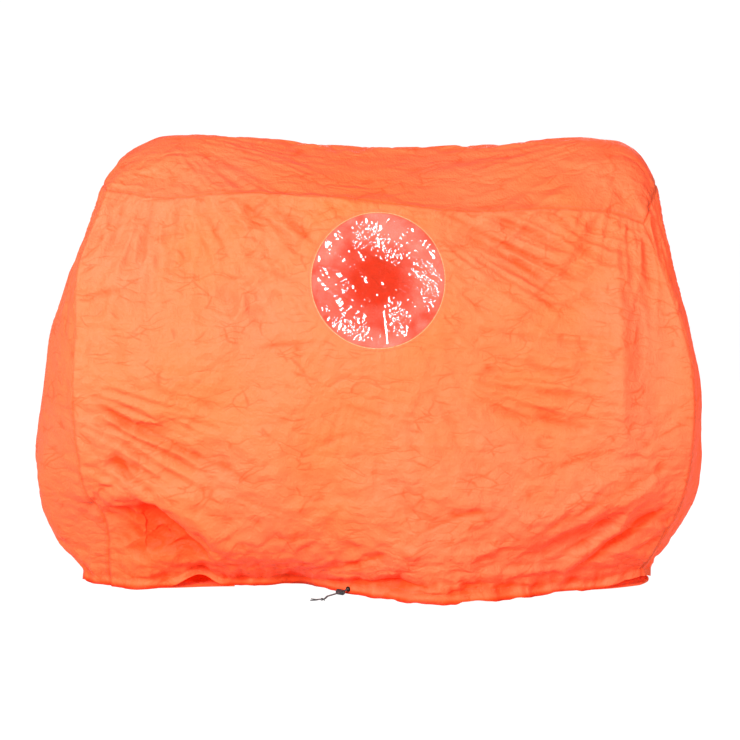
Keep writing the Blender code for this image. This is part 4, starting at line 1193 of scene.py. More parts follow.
@dataclass(frozen=True)
class CoatedNylon:
    """Plain-woven nylon of about 45 g/m2 with a thin coating: dull, soft and lit from both sides.

    The coating gives a weak broad sheen, and the thin yarn lets orange light through, which turns
    redder each time it passes. Yarns lie about 0.2 mm apart, which is too fine to show, so the
    weave is drawn 0.9 mm apart.
    """

    name: str
    face: str
    warm: str
    through: str
    # Colour of the painted shade in folds, along seams and low on the walls.
    fold_shade_colour: str
    roughness: float = 0.55
    passed: float = 0.38
    weave: float = 0.0009
    crinkle: float = 0.55
    # Colour of the dark painted shade under the hem.
    under: str = "#A8240A"
    # Colour of the painted shade in a thin line along each crease.
    crease_shade_colour: str = "#D24C1C"

    def creased(self, add: Adder, cloth: Feed) -> tuple[Node, Node]:
        """Long thin facets between creases, in patches, from the cloth's map.

        Args:
            add: adds a node.
            cloth: the cloth's map in metres.

        Returns:
            Height of the facets in metres, and how much painted shade lies in a thin line along
            each crease.
        """
        drift = add("TexNoise", {"Scale": 13.0, "Detail": 2.0}, {"Vector": cloth})
        wander = add("VectorMath", {"operation": "MULTIPLY_ADD", 1: (0.06, 0.06, 0.0)},
                     {0: drift.outputs["Color"], 2: cloth})
        patch = add("MapRange", {"From Min": 0.36, "From Max": 0.60, "To Min": 0.35,
                                 "To Max": 1.15}, {"Value": drift})
        broken = add("TexNoise", {"Scale": 21.0, "Detail": 1.0}, {"Vector": cloth})
        shown = add("MapRange", {"From Min": 0.47, "From Max": 0.60, "To Max": 0.62},
                    {"Value": broken})
        total, crease_shading = None, None
        for turn, scale, size in ((0.55, 17.0, 0.0170), (-0.45, 33.0, 0.0085)):
            turned = add("Mapping", {"Rotation": (0.0, 0.0, turn), "Scale": (0.34, 1.0, 1.0)},
                         {"Vector": wander})
            cells = add("TexVoronoi", {"feature": "DISTANCE_TO_EDGE", "Scale": scale},
                        {"Vector": turned})
            layer = add("Math", {"operation": "MULTIPLY", 1: size}, {0: cells})
            # Painted shade in a thin line along each crease.
            crease_line_shade = add("MapRange", {"From Max": 0.0013 * scale, "To Min": 1.0, "To Max": 0.0},
                       {"Value": cells})
            if total is not None:
                layer = add("Math", {"operation": "ADD"}, {0: layer, 1: total})
                crease_line_shade = add("Math", {"operation": "MAXIMUM"}, {0: crease_line_shade, 1: crease_shading})
            total, crease_shading = layer, crease_line_shade
        return (add("Math", {"operation": "MULTIPLY"}, {0: total, 1: patch}),
                add("Math", {"operation": "MULTIPLY"}, {0: crease_shading, 1: shown}))

    def build(self) -> Material:
        """Makes the material."""
        made, add = new_material(self.name)
        spot = add("TexCoord").outputs["Object"]
        cloth = add("UVMap", {"uv_map": "cloth"})
        broad = add("TexNoise", {"Scale": 3.2, "Detail": 3.0, "Roughness": 0.5}, {"Vector": spot})
        stretch = add("Mapping", {"Scale": (1 / 0.10, 1 / 0.0035, 1.0)}, {"Vector": cloth})
        slubs = add("TexNoise", {"Scale": 1.0, "Detail": 2.0}, {"Vector": stretch})
        tint = ramp(add, broad, ((0.34, self.face), (0.66, self.warm)))
        streak = add("MapRange", {"From Min": 0.3, "From Max": 0.7, "To Min": 0.965,
                                  "To Max": 1.02}, {"Value": slubs})
        shade = add("Mix", {"data_type": "RGBA", "blend_type": "MULTIPLY", 0: 1.0},
                    {6: tint, 7: streak})
        # Painted shade mixed into the colour: in folds, seams and low down, under the hem, and
        # along each crease.
        deep = add("Attribute", {"attribute_name": "deep"}).outputs["Fac"]
        # Painted shade under the hem, where the mask goes past 1.
        under = add("MapRange", {"From Min": 1.0, "From Max": 2.0}, {"Value": deep})
        relief, crease_shading = self.creased(add, cloth)
        for code, amount in ((self.fold_shade_colour, deep), (self.under, under), (self.crease_shade_colour, crease_shading)):
            shade = add("Mix", {"data_type": "RGBA", 7: colour(code)},
                        {0: amount, 6: shade.outputs[2]})
        warp, weft = (add("TexWave", {"Scale": 1 / self.weave / 20, "Distortion": 0.4,
                                      "bands_direction": way}, {"Vector": cloth}) for way in "XY")
        over = add("Math", {"operation": "MULTIPLY"},
                   {0: warp.outputs["Fac"], 1: weft.outputs["Fac"]})
        fine = add("TexNoise", {"Scale": 95.0, "Detail": 2.5, "Roughness": 0.55},
                   {"Vector": spot})
        middle = add("Math", {"operation": "SUBTRACT", 1: 0.5}, {0: fine})
        sharp = add("Math", {"operation": "ABSOLUTE"}, {0: middle})
        small = add("Math", {"operation": "MULTIPLY_ADD", 1: 0.0075}, {0: sharp, 2: relief})
        bump = add("Bump", {"Strength": self.crinkle, "Distance": 1.0}, {"Height": small})
        woven = add("Bump", {"Strength": 0.25, "Distance": 0.0002},
                    {"Height": over, "Normal": bump})
        rough = add("MapRange", {"To Min": self.roughness - 0.06, "To Max": self.roughness + 0.08},
                    {"Value": fine})
        front = add("BsdfPrincipled", {"IOR": 1.5, "Sheen Weight": 0.03, "Sheen Roughness": 0.4,
                                       "Specular IOR Level": 0.18},
                    {"Base Color": shade.outputs[2], "Roughness": rough, "Normal": woven})
        behind = add("BsdfTranslucent", {"Color": colour(self.through)}, {"Normal": woven})
        both = add("MixShader", {"Fac": self.passed}, {1: front, 2: behind})
        add("OutputMaterial", links={"Surface": both})
        return made


@dataclass(frozen=True)
class WindowFilm:
    """Clear plasticised film about 0.2 mm thick, creased from the bag.

    It is glossy, slightly milky with handling, and its sharp creases catch the lamps. Both of its
    faces shine, so its index is higher than the film's own 1.53.
    """

    name: str = "clear_pvc_film"
    clear: str = "#ECD2DC"
    milk: str = "#FFB4A4"
    haze: float = 0.085
    clear_middle: float = 0.105
    middle: tuple[float, float, float] = (0.012, 0.0, 0.655)
    gloss_roughness: float = 0.10
    both_faces_ior: float = 1.75

    def build(self) -> Material:
        """Makes the material."""
        made, add = new_material(self.name)
        spot = add("TexCoord").outputs["Object"]
        cloudy = add("TexNoise", {"Scale": 18.0, "Detail": 5.0, "Roughness": 0.6},
                     {"Vector": spot})
        scuffs = add("TexNoise", {"Scale": 160.0, "Detail": 3.0}, {"Vector": spot})
        bump = add("Bump", {"Strength": 0.08, "Distance": 0.0012}, {"Height": cloudy})
        small = add("Bump", {"Strength": 0.08, "Distance": 0.0004},
                    {"Height": scuffs, "Normal": bump})
        clear = add("BsdfTransparent", {"Color": colour(self.clear)})
        milky = add("BsdfDiffuse", {"Color": colour(self.milk), "Roughness": 0.4},
                    {"Normal": small})
        size = 1 / self.clear_middle
        centred = add("Mapping", {"Location": tuple(-size * c for c in self.middle),
                                  "Scale": (size, 0.0, size)}, {"Vector": spot})
        clearest = add("TexGradient", {"gradient_type": "SPHERICAL"}, {"Vector": centred})
        outer = add("MapRange", {"From Min": 0.0, "From Max": 0.6, "To Min": self.haze * 2.2,
                                 "To Max": 0.0}, {"Value": clearest.outputs["Fac"]})
        amount = add("MapRange", {"From Min": 0.35, "From Max": 0.7, "To Min": 0.2,
                                  "To Max": 1.6}, {"Value": cloudy})
        amount = add("Math", {"operation": "MULTIPLY"}, {0: amount, 1: outer})
        body = add("MixShader", links={0: amount, 1: clear, 2: milky})
        shine = add("BsdfGlossy", {"Color": colour("#FFFFFF"), "Roughness": self.gloss_roughness},
                    {"Normal": small})
        edge = add("Fresnel", {"IOR": self.both_faces_ior}, {"Normal": small})
        film = add("MixShader", links={0: edge, 1: body, 2: shine})
        add("OutputMaterial", links={"Surface": film})
        return made


@dataclass(frozen=True)
class SpunThread:
    """Spun polyester sewing thread, fuzzy and matte, with a twist about 0.6 mm long."""

    name: str
    light: str
    dark: str

    def build(self) -> Material:
        """Makes the material."""
        made, add = new_material(self.name)
        twist = add("TexWave", {"Scale": 80.0, "Distortion": 3.0, "bands_direction": "DIAGONAL"},
                    {"Vector": add("TexCoord").outputs["Object"]}).outputs["Fac"]
        tone = ramp(add, twist, ((0.2, self.dark), (0.8, self.light)))
        bump = add("Bump", {"Strength": 0.4, "Distance": 0.0002}, {"Height": twist})
        shader = add("BsdfPrincipled", {"Roughness": 0.75, "Sheen Weight": 0.2},
                     {"Base Color": tone, "Normal": bump})
        add("OutputMaterial", links={"Surface": shader})
        return made


@dataclass(frozen=True)
class BraidedCord:
    """Black polyester braid of 16 yarns round a core: matte, with small shining yarn crowns and
    painted shade between the yarns.
    """

    name: str = "black_polyester_braid"
    yarn: str = "#26262A"
    # Painted shade in the gaps between the yarns.
    gap: str = "#08080A"

    def build(self) -> Material:
        """Makes the material. Its braid follows the cord's own map, in metres."""
        made, add = new_material(self.name)
        cord = add("UVMap", {"uv_map": "cloth"})
        lay = {}
        for number, turn in enumerate((0.6, -0.6)):
            angled = add("Mapping", {"Rotation": (0.0, 0.0, turn)}, {"Vector": cord})
            lay[number] = add("TexWave", {"Scale": 1 / 0.0009 / 20, "Distortion": 0.2},
                              {"Vector": angled}).outputs["Fac"]
        crossed = add("Math", {"operation": "MAXIMUM"}, lay)
        # Painted shade where the yarns dip between each other.
        tone = ramp(add, crossed, ((0.35, self.gap), (0.9, self.yarn)))
        bump = add("Bump", {"Strength": 0.6, "Distance": 0.0003}, {"Height": crossed})
        shader = add("BsdfPrincipled", {"Roughness": 0.62, "Sheen Weight": 0.15},
                     {"Base Color": tone, "Normal": bump})
        add("OutputMaterial", links={"Surface": shader})
        return made


@dataclass(frozen=True)
class MouldedAcetal:
    """Injection-moulded acetal, nearly black, with a fine spark-eroded grain and rubbed edges."""

    name: str = "black_moulded_acetal"
    body: str = "#131315"
    rubbed: str = "#2C2C30"
    grain: float = 0.0004

    def build(self) -> Material:
        """Makes the material."""
        made, add = new_material(self.name)
        spot = add("TexCoord").outputs["Object"]
        cells = add("TexNoise", {"Scale": 1 / self.grain, "Detail": 2.0}, {"Vector": spot})
        wear = add("TexNoise", {"Scale": 260.0, "Detail": 3.0}, {"Vector": spot})
        rub = add("MapRange", {"From Min": 0.52, "From Max": 0.60},
                  {"Value": add("NewGeometry").outputs["Pointiness"]})
        part = add("Math", {"operation": "MULTIPLY"}, {0: rub, 1: wear})
        tone = ramp(add, part, ((0.0, self.body), (0.7, self.rubbed)))
        bump = add("Bump", {"Strength": 0.2, "Distance": 0.0001}, {"Height": cells})
        rough = add("MapRange", {"To Min": 0.32, "To Max": 0.52}, {"Value": wear})
        shader = add("BsdfPrincipled", {"IOR": 1.48},
                     {"Base Color": tone, "Roughness": rough, "Normal": bump})
        add("OutputMaterial", links={"Surface": shader})
        return made


@dataclass(frozen=True)
class TurnedMetal:
    """Thin metal with fine scratches: blackened brass of an eyelet, or drawn spring wire."""

    name: str
    bare: str
    dulled: str
    roughness: float

    def build(self) -> Material:
        """Makes the material."""
        made, add = new_material(self.name)
        blotches = add("TexNoise", {"Scale": 420.0, "Detail": 4.0},
                       {"Vector": add("TexCoord").outputs["Object"]})
        tone = ramp(add, blotches, ((0.4, self.dulled), (0.7, self.bare)))
        rough = add("MapRange", {"To Min": self.roughness - 0.08, "To Max": self.roughness + 0.12},
                    {"Value": blotches})
        shader = add("BsdfPrincipled", {"Metallic": 1.0}, {"Base Color": tone, "Roughness": rough})
        add("OutputMaterial", links={"Surface": shader})
        return made


@dataclass(frozen=True)
class Finishes:
    """Every finish of the shelter."""

    nylon: Material
    tape: Material
    floor_cloth: Material
    thread: Material
    window_thread: Material
    film: Material
    cord: Material
    plastic: Material
    eyelet: Material
    spring: Material

    @classmethod
    def make(cls) -> Finishes:
        """Makes all materials."""
        return cls(
            # The fourth colour of each cloth is the painted shade of its folds.
            nylon=CoatedNylon("orange_coated_nylon", "#FC723D", "#FC754B", "#FF5E22",
                              "#FB4E1C").build(),
            tape=CoatedNylon("orange_seam_tape", "#F4622A", "#F66730", "#F04A18", "#E03808", 0.65,
                             passed=0.15, crinkle=0.2).build(),
            floor_cloth=CoatedNylon("orange_coated_floor_cloth", "#E85A28", "#EC602E", "#D84212",
                                    "#C83408", 0.5, passed=0.10, crinkle=0.7).build(),
            thread=SpunThread("orange_spun_thread", "#D2480F", "#A83208").build(),
            window_thread=SpunThread("pale_spun_thread", "#FFBE9C", "#F09A74").build(),
            film=WindowFilm().build(),
            cord=BraidedCord().build(),
            plastic=MouldedAcetal().build(),
            eyelet=TurnedMetal("blackened_brass", "#4A4238", "#1E1A17", 0.38).build(),
            spring=TurnedMetal("drawn_spring_steel", "#C8C6C2", "#9C9A96", 0.28).build(),
        )


def repeated(name: str, shape: bmesh.types.BMesh, places: Array) -> Mesh:
    """One mesh with a small shape at every placing matrix.

    Args:
        name: name of the mesh.
        shape: the small shape, which is freed.
        places: array of (count, 4, 4).

    Returns:
        The mesh.
    """
    single = bpy.data.meshes.new(name + "_single")
    shape.to_mesh(single)
    shape.free()
    corners = np.empty(len(single.vertices) * 3)
    single.vertices.foreach_get("co", corners)
    corners = np.c_[corners.reshape(-1, 3), np.ones(len(single.vertices))]
    moved = np.einsum("nab,vb->nva", places, corners)[..., :3]
    loops = [tuple(face.vertices) for face in single.polygons]
    count, size = len(places), len(single.vertices)
    mesh = bpy.data.meshes.new(name)
    faces = [tuple(v + n * size for v in face) for n in range(count) for face in loops]
    mesh.from_pydata(moved.reshape(-1, 3).tolist(), [], faces)
    mesh.shade_smooth()
    bpy.data.meshes.remove(single)
    return mesh


@dataclass
class Stitching:
    """Rows of lockstitches, each a short bead of thread that dips into the cloth at its ends."""

    length: float = 0.0034
    pitch: float = 0.0042
    thread: float = 0.00035

    def row(self, name: str, net: ClothNet, side: Side, i: Array, j: Array) -> Mesh:
        """Stitches along a line on the cloth.

        Args:
            name: name of the mesh.
            net: the net.
            side: the side of it that they are sewn on.
            i: places along the side, in fine grid lines.
            j: places up it.

        Returns:
            The mesh.
        """
        line = net.at(side, i, j)
        run = run_along(line)
        count = max(int(run[-1] / self.pitch), 2)
        at = (np.arange(count) + 0.5) * run[-1] / count
        middle = read_at(at, run, line)
        ahead = read_at(at + self.length / 2, run, line)
        behind = read_at(at - self.length / 2, run, line)
        out = unit(read_at(at, run, net.blend_at(net.normals[side], i, j)))
        x = unit(ahead - behind)
        y = unit(np.cross(out, x))
        z = np.cross(x, y)
        places = np.zeros((count, 4, 4))
        places[:, :3, 0], places[:, :3, 1], places[:, :3, 2] = x, y, z
        places[:, :3, 3] = middle + out * self.thread * 0.35
        places[:, 3, 3] = 1.0
        bead = bmesh.new()
        bmesh.ops.create_uvsphere(bead, u_segments=6, v_segments=4, radius=1.0)
        turn = Matrix.Diagonal((self.length / 2, self.thread, self.thread * 0.8, 1.0))
        bmesh.ops.transform(bead, matrix=turn @ Matrix.Rotation(math.pi / 2, 4, "Y"),
                            verts=bead.verts[:])
        return repeated(name, bead, places)


@dataclass
class Panels:
    """The five sheets of cloth, cut along the seams."""

    net: ClothNet
    finishes: Finishes
    ragged: float = 0.012

    def build(self) -> dict[Side, Object]:
        """Makes the panels, with the window's hole in the front one.

        Returns:
            The panels by side.
        """
        made = {}
        for side in Side:
            points, uv = self.net.points[side], self.net.uv[side]
            keep = self.outside_window if side is Side.FRONT else None
            # Each point carries its painted shade into the cloth's colour.
            mesh = grid_mesh(side.value, points, uv, keep, self.net.shade_in_folds(side))
            if side is Side.FRONT:
                self.round_window(mesh)
            made[side] = add_piece(side.value + "_cloth", mesh, self.finishes.nylon,
                                   replaces=(side.value,))
        return made

    def outside_window(self, middle: Vector) -> bool:
        """Whether a face's middle lies outside the window and the eyelet's bore."""
        form = self.net.form
        away = math.hypot(middle.x - form.window_x, middle.z - form.window_height())
        from_eyelet = (middle - Vector(self.net.eyelet.centre)).length
        return away > form.window_diameter / 2 and from_eyelet > self.net.eyelet.bore

    def round_window(self, mesh: Mesh) -> None:
        """Draws the jagged rim of the hole out onto its circle."""
        form = self.net.form
        radius = form.window_diameter / 2
        with edited(mesh) as bm:
            for vert in bm.verts:
                if not vert.is_boundary:
                    continue
                dx, dz = vert.co.x - form.window_x, vert.co.z - form.window_height()
                away = math.hypot(dx, dz)
                if abs(away - radius) < self.ragged:
                    vert.co.x = form.window_x + dx * radius / away
                    vert.co.z = form.window_height() + dz * radius / away


@dataclass
class Window:
    """The round window: crinkled film behind the hole and two rings of stitches round it."""

    net: ClothNet
    finishes: Finishes
    seam: float = 0.008
    depth: float = 0.0016
    cell: float = 0.0010
    crumpled: Table = ((-0.024, 0.094, 0.022), (-0.043, 0.075, 0.014), (0.004, 0.066, 0.022),
                       (0.034, 0.052, 0.020), (0.086, 0.024, 0.020), (0.105, -0.008, 0.026),
                       (0.102, -0.044, 0.016), (-0.066, -0.011, 0.013), (0.030, -0.048, 0.018),
                       (0.045, -0.084, 0.024), (-0.105, -0.066, 0.018), (-0.082, -0.092, 0.022),
                       (-0.040, -0.098, 0.026), (-0.106, 0.017, 0.010), (-0.083, 0.090, 0.014))
    shards: tuple[Shards, ...] = (Shards(0.026, 0.0052, 0.345, 0.05),
                                  Shards(0.016, 0.0060, 0.04, 0.03))
    thread_rings: tuple[float, float] = (0.0012, 0.0064)

    def build(self) -> tuple[Object, Object, Object]:
        """Makes the film and its stitching.

        Returns:
            The film, the stitches at its edge and the outer row.
        """
        form = self.net.form
        radius = form.window_diameter / 2
        reach = radius + self.seam
        middle_z = form.window_height()
        count = int(2 * reach / self.cell)
        step = np.linspace(-reach, reach, count + 1)
        dx, dz = np.meshgrid(step, step, indexing="ij")
        i, j = self.net.find(Side.FRONT, form.window_x + dx, middle_z + dz)
        laid = self.net.at(Side.FRONT, i, j, self.depth)
        laid[..., 0], laid[..., 2] = form.window_x + dx, middle_z + dz
        away = np.hypot(dx, dz)
        laid[..., 1] -= self.creased(laid) * eased((radius - away) / 0.016)

        def inside(middle: Vector) -> bool:
            return math.hypot(middle.x - form.window_x, middle.z - middle_z) < reach

        mesh = grid_mesh("window_film", laid, np.stack([dx, dz], axis=-1), inside)
        film = add_piece("window_film", mesh, self.finishes.film,
                         replaces=("window_pane",))
        rings = []
        angle = np.linspace(0, 2 * math.pi, 361)
        for number, offset in enumerate(self.thread_rings):
            x = form.window_x + (radius + offset) * np.cos(angle)
            z = middle_z + (radius + offset) * np.sin(angle)
            places = self.net.find(Side.FRONT, x, z)
            rings.append(Stitching(0.0030, 0.0034, 0.0004).row(
                f"window_ring_{number}", self.net, Side.FRONT, *places))
        ring = add_piece("window_stitches", rings[0], self.finishes.window_thread,
                         replaces=("window_stitching",))
        outer = add_piece("window_outer_stitches", rings[1], self.finishes.thread)
        return film, ring, outer

    def creased(self, points: Array) -> Array:
        """Sharp folds and flat facets of stiff film at an array of points."""
        dx = points[..., 0] - self.net.form.window_x
        dz = points[..., 2] - self.net.form.window_height()
        strong = sum(bell((dx - x) / size, (dz - z) / size) for x, z, size in self.crumpled)
        amount = 0.07 + 0.93 * eased(1.9 * strong - 0.35)
        relief = sum(shards.depth(dx, dz, 7.7 + 3.3 * k) for k, shards in enumerate(self.shards))
        return relief * amount


def joined(name: str, meshes: Sequence[Mesh]) -> Mesh:
    """One mesh from several.

    Args:
        name: name of the new mesh.
        meshes: the meshes, which are removed.

    Returns:
        The new mesh.
    """
    bm = bmesh.new()
    for mesh in meshes:
        bm.from_mesh(mesh)
    made = bpy.data.meshes.new(name)
    bm.to_mesh(made)
    bm.free()
    made.shade_smooth()
    for mesh in meshes:
        bpy.data.meshes.remove(mesh)
    return made


@dataclass
class Seams:
    """Tapes under the seams, and the two rows of stitches that show beside each of them."""

    net: ClothNet
    finishes: Finishes
    tape_depth: float = 0.0013
    tape_thickness: float = 0.0003
    thread: float = 0.00045
    stitched: tuple[int, int] = (2, 4)

    def lines(self) -> dict[str, Run]:
        """Where each tape runs: for each of its lines, a side with its grid places."""
        net, r = self.net, self.net.refine
        n_front = net.points[Side.FRONT].shape[0] - 1
        n_end = net.points[Side.RIGHT].shape[0] - 1
        top = net.points[Side.FRONT].shape[1] - 1
        across = net.points[Side.ROOF].shape[1] - 1
        runs: dict[str, Run] = {}
        along_front = np.arange(n_front + 1, dtype=float)
        along_end = np.arange(r, n_end + 1 - r, dtype=float)
        up = np.arange(2 * r, top + 1 - r, dtype=float)
        drops = np.arange(r, 0, -1)
        climbs = np.arange(0, r + 1)

        def pair(wall: Side, places: Array,
                 roof_line: Callable[[int], tuple[Array, Array]]) -> Run:
            run = [(wall, places, np.full_like(places, top - d)) for d in drops]
            return run + [(Side.ROOF, *roof_line(int(k))) for k in climbs]

        runs["roof_front_tape"] = pair(Side.FRONT, along_front, lambda k: (
            along_front, np.full_like(along_front, k)))
        runs["roof_back_tape"] = pair(Side.BACK, along_front, lambda k: (
            n_front - along_front, np.full_like(along_front, across - k)))
        runs["roof_right_tape"] = pair(Side.RIGHT, along_end, lambda k: (
            np.full_like(along_end, n_front - k), along_end))
        runs["roof_left_tape"] = pair(Side.LEFT, along_end, lambda k: (
            np.full_like(along_end, k), n_end - along_end))
        corners = (("front_right_tape", Side.FRONT, Side.RIGHT),
                   ("back_right_tape", Side.RIGHT, Side.BACK),
                   ("back_left_tape", Side.BACK, Side.LEFT),
                   ("front_left_tape", Side.LEFT, Side.FRONT))
        for name, before, after in corners:
            last = net.points[before].shape[0] - 1
            run = [(before, np.full_like(up, last - d), up) for d in drops]
            runs[name] = run + [(after, np.full_like(up, k), up) for k in climbs]
        return runs

    def build(self) -> dict[str, Object]:
        """Makes the tapes and the stitches.

        Returns:
            The pieces by name.
        """
        made = {}
        rows = []
        for name, run in self.lines().items():
            points = np.stack([self.net.at(*line, self.tape_depth) for line in run], axis=1)
            if not name.startswith("roof"):
                points = points[:, ::-1]
            mesh = grid_mesh(name, points, self.net.cloth_uv(points))
            made[name] = add_piece(name + "_strip", mesh, self.finishes.tape,
                                   replaces=(name,))
            thickness = made[name].modifiers.new("thickness", "SOLIDIFY")
            thickness.thickness = self.tape_thickness
            thickness.offset = 0.0
            for line in self.stitched:
                rows.append(Stitching(thread=self.thread).row(
                    f"{name}_row_{line}", self.net, *run[line]))
        made["seam_stitches"] = add_piece("seam_stitches", joined("seam_stitches", rows),
                                          self.finishes.thread)
        return made


def tube_mesh(name: str, path: Array, radius: float, sides: int = 12, closed: bool = False,
              braid: float = 0.0) -> Mesh:
    """A round cord along a path, mapped from a grid that is rolled up.

    Args:
        name: name of the mesh.
        path: points of its centreline.
        radius: half its diameter.
        sides: faces round it.
        closed: whether its end joins its start.
        braid: how far the yarns stand out, in metres.

    Returns:
        The mesh, closed at its ends.
    """
    line = np.vstack([path, path[:1]]) if closed else path
    if closed:
        ahead = np.roll(path, -1, axis=0) - np.roll(path, 1, axis=0)
        tangents = unit(np.vstack([ahead, ahead[:1]]))
    else:
        tangents = unit(np.gradient(line, axis=0))
    across = np.cross(tangents[0], (0.0, 0.0, 1.0))
    if np.linalg.norm(across) < 1e-3:
        across = np.cross(tangents[0], (1.0, 0.0, 0.0))
    frames = []
    for tangent in tangents:
        across = unit(across - tangent * (across @ tangent))
        frames.append(across)
    x = np.array(frames)
    if closed:
        twist = math.atan2(np.cross(x[-1], x[0]) @ tangents[0], x[-1] @ x[0])
        turn = np.linspace(0.0, twist, len(x))[:, None]
        x = x * np.cos(turn) + np.cross(tangents, x) * np.sin(turn)
    y = np.cross(tangents, x)
    run = run_along(line)
    angle = np.linspace(0, 2 * math.pi, sides + 1)
    laid, lie = 4 * angle[None], run[:, None] / 0.0006
    wave = np.sin(laid + lie) * np.sin(laid - lie)
    size = radius - braid + braid * wave
    points = (line[:, None] + x[:, None] * (np.cos(angle)[None] * size)[..., None]
              + y[:, None] * (np.sin(angle)[None] * size)[..., None])
    uv = np.stack(np.broadcast_arrays(angle[None] * radius, run[:, None]), axis=-1)
    mesh = grid_mesh(name, points, uv)
    with edited(mesh) as bm:
        bmesh.ops.remove_doubles(bm, verts=bm.verts[:], dist=radius * 0.01)
        if not closed:
            rim = [edge for edge in bm.edges if edge.is_boundary]
            bmesh.ops.holes_fill(bm, edges=rim, sides=sides)
        bmesh.ops.recalc_face_normals(bm, faces=bm.faces[:])
    return mesh


def smooth_route(points: Sequence[Vector], count: int) -> Array:
    """Evenly numbered points on a smooth curve through a route.

    Args:
        points: the route.
        count: how many points to make.

    Returns:
        Array of (count, 3).
    """
    places = np.array([tuple(p) for p in points])
    run = run_along(places)
    at = np.linspace(0, run[-1], count)
    return np.stack([curve_value(np.c_[run, places[:, k]], at) for k in range(3)], axis=1)


@dataclass
class Hem:
    """The hem: its inner facing, the drawcord in its channel and its row of stitches."""

    net: ClothNet
    finishes: Finishes
    channel: float = 0.0050
    facing_depth: float = 0.0018
    facing_lines: int = 9
    cord_depth: float = 0.0054
    turn_radius: float = 0.0029
    cord_lead: float = 0.012
    cord_clear: float = 0.016

    def ring(self, j: float, depth: float) -> Array:
        """Points right round the hem at a height in grid lines, under the outer face."""
        rows = []
        for side in WALLS:
            i = np.arange(self.net.points[side].shape[0] - 1, dtype=float)
            rows.append(self.net.at(side, i, np.full_like(i, j), depth))
        return np.vstack([*rows, rows[0][:1]])

    def build(self) -> dict[str, Object]:
        """Makes the facing, the drawcord and the stitches."""
        r = self.net.refine
        made = {}
        steps = np.linspace(0.05, 2.0 * r, self.facing_lines)
        bulge = np.sin(np.linspace(0, math.pi, self.facing_lines)) ** 0.7
        depths = self.facing_depth + self.channel * bulge
        points = np.stack([self.ring(j, d) for j, d in zip(steps, depths)], axis=1)
        mesh = grid_mesh("hem_channel", points[:, ::-1], self.net.cloth_uv(points))
        made["facing"] = add_piece("hem_channel", mesh, self.finishes.tape,
                                   replaces=("hem_facing",))
        rows = []
        for side in WALLS:
            i = np.arange(self.net.points[side].shape[0], dtype=float)
            rows.append(Stitching().row("hem_row", self.net, side, i, np.full_like(i, 2.0 * r)))
        made["stitches"] = add_piece("hem_stitches", joined("hem_stitches", rows),
                                     self.finishes.thread)
        made["drawcord"] = self.drawcord()
        return made

    def drawcord(self) -> Object:
        """The cord that runs round in the hem, and comes out through the eyelet at both ends."""
        eyelet = self.net.eyelet
        turn = []
        for step in range(5):
            angle = step / 4 * math.pi / 2
            beside = eyelet.cord_pitch / 2 + self.turn_radius * (1 - math.cos(angle))
            depth = self.cord_depth - self.turn_radius + self.turn_radius * math.sin(angle)
            turn.append((beside, -depth))
        half = [(eyelet.cord_pitch / 2, 0.0009), *turn, (self.cord_lead, -self.cord_depth)]
        start = [eyelet.local(a, b) for a, b in half]
        finish = [eyelet.local(-a, b) for a, b in reversed(half)]
        around = self.ring(1.0 * self.net.refine, self.cord_depth)[:-1]
        first = int(np.argmin(np.linalg.norm(around - np.array(eyelet.centre), axis=1)))
        around = np.roll(around, -first, axis=0)
        away = np.linalg.norm(around - np.array(eyelet.centre), axis=1)
        around = around[away > self.cord_clear][::3]
        path = smooth_route([*start, *[Vector(p) for p in around], *finish], 1200)
        mesh = tube_mesh("hem_drawcord", path, eyelet.cord_diameter / 2, 8)
        return add_piece("hem_drawcord", mesh, self.finishes.cord,
                         replaces=("drawcord",))


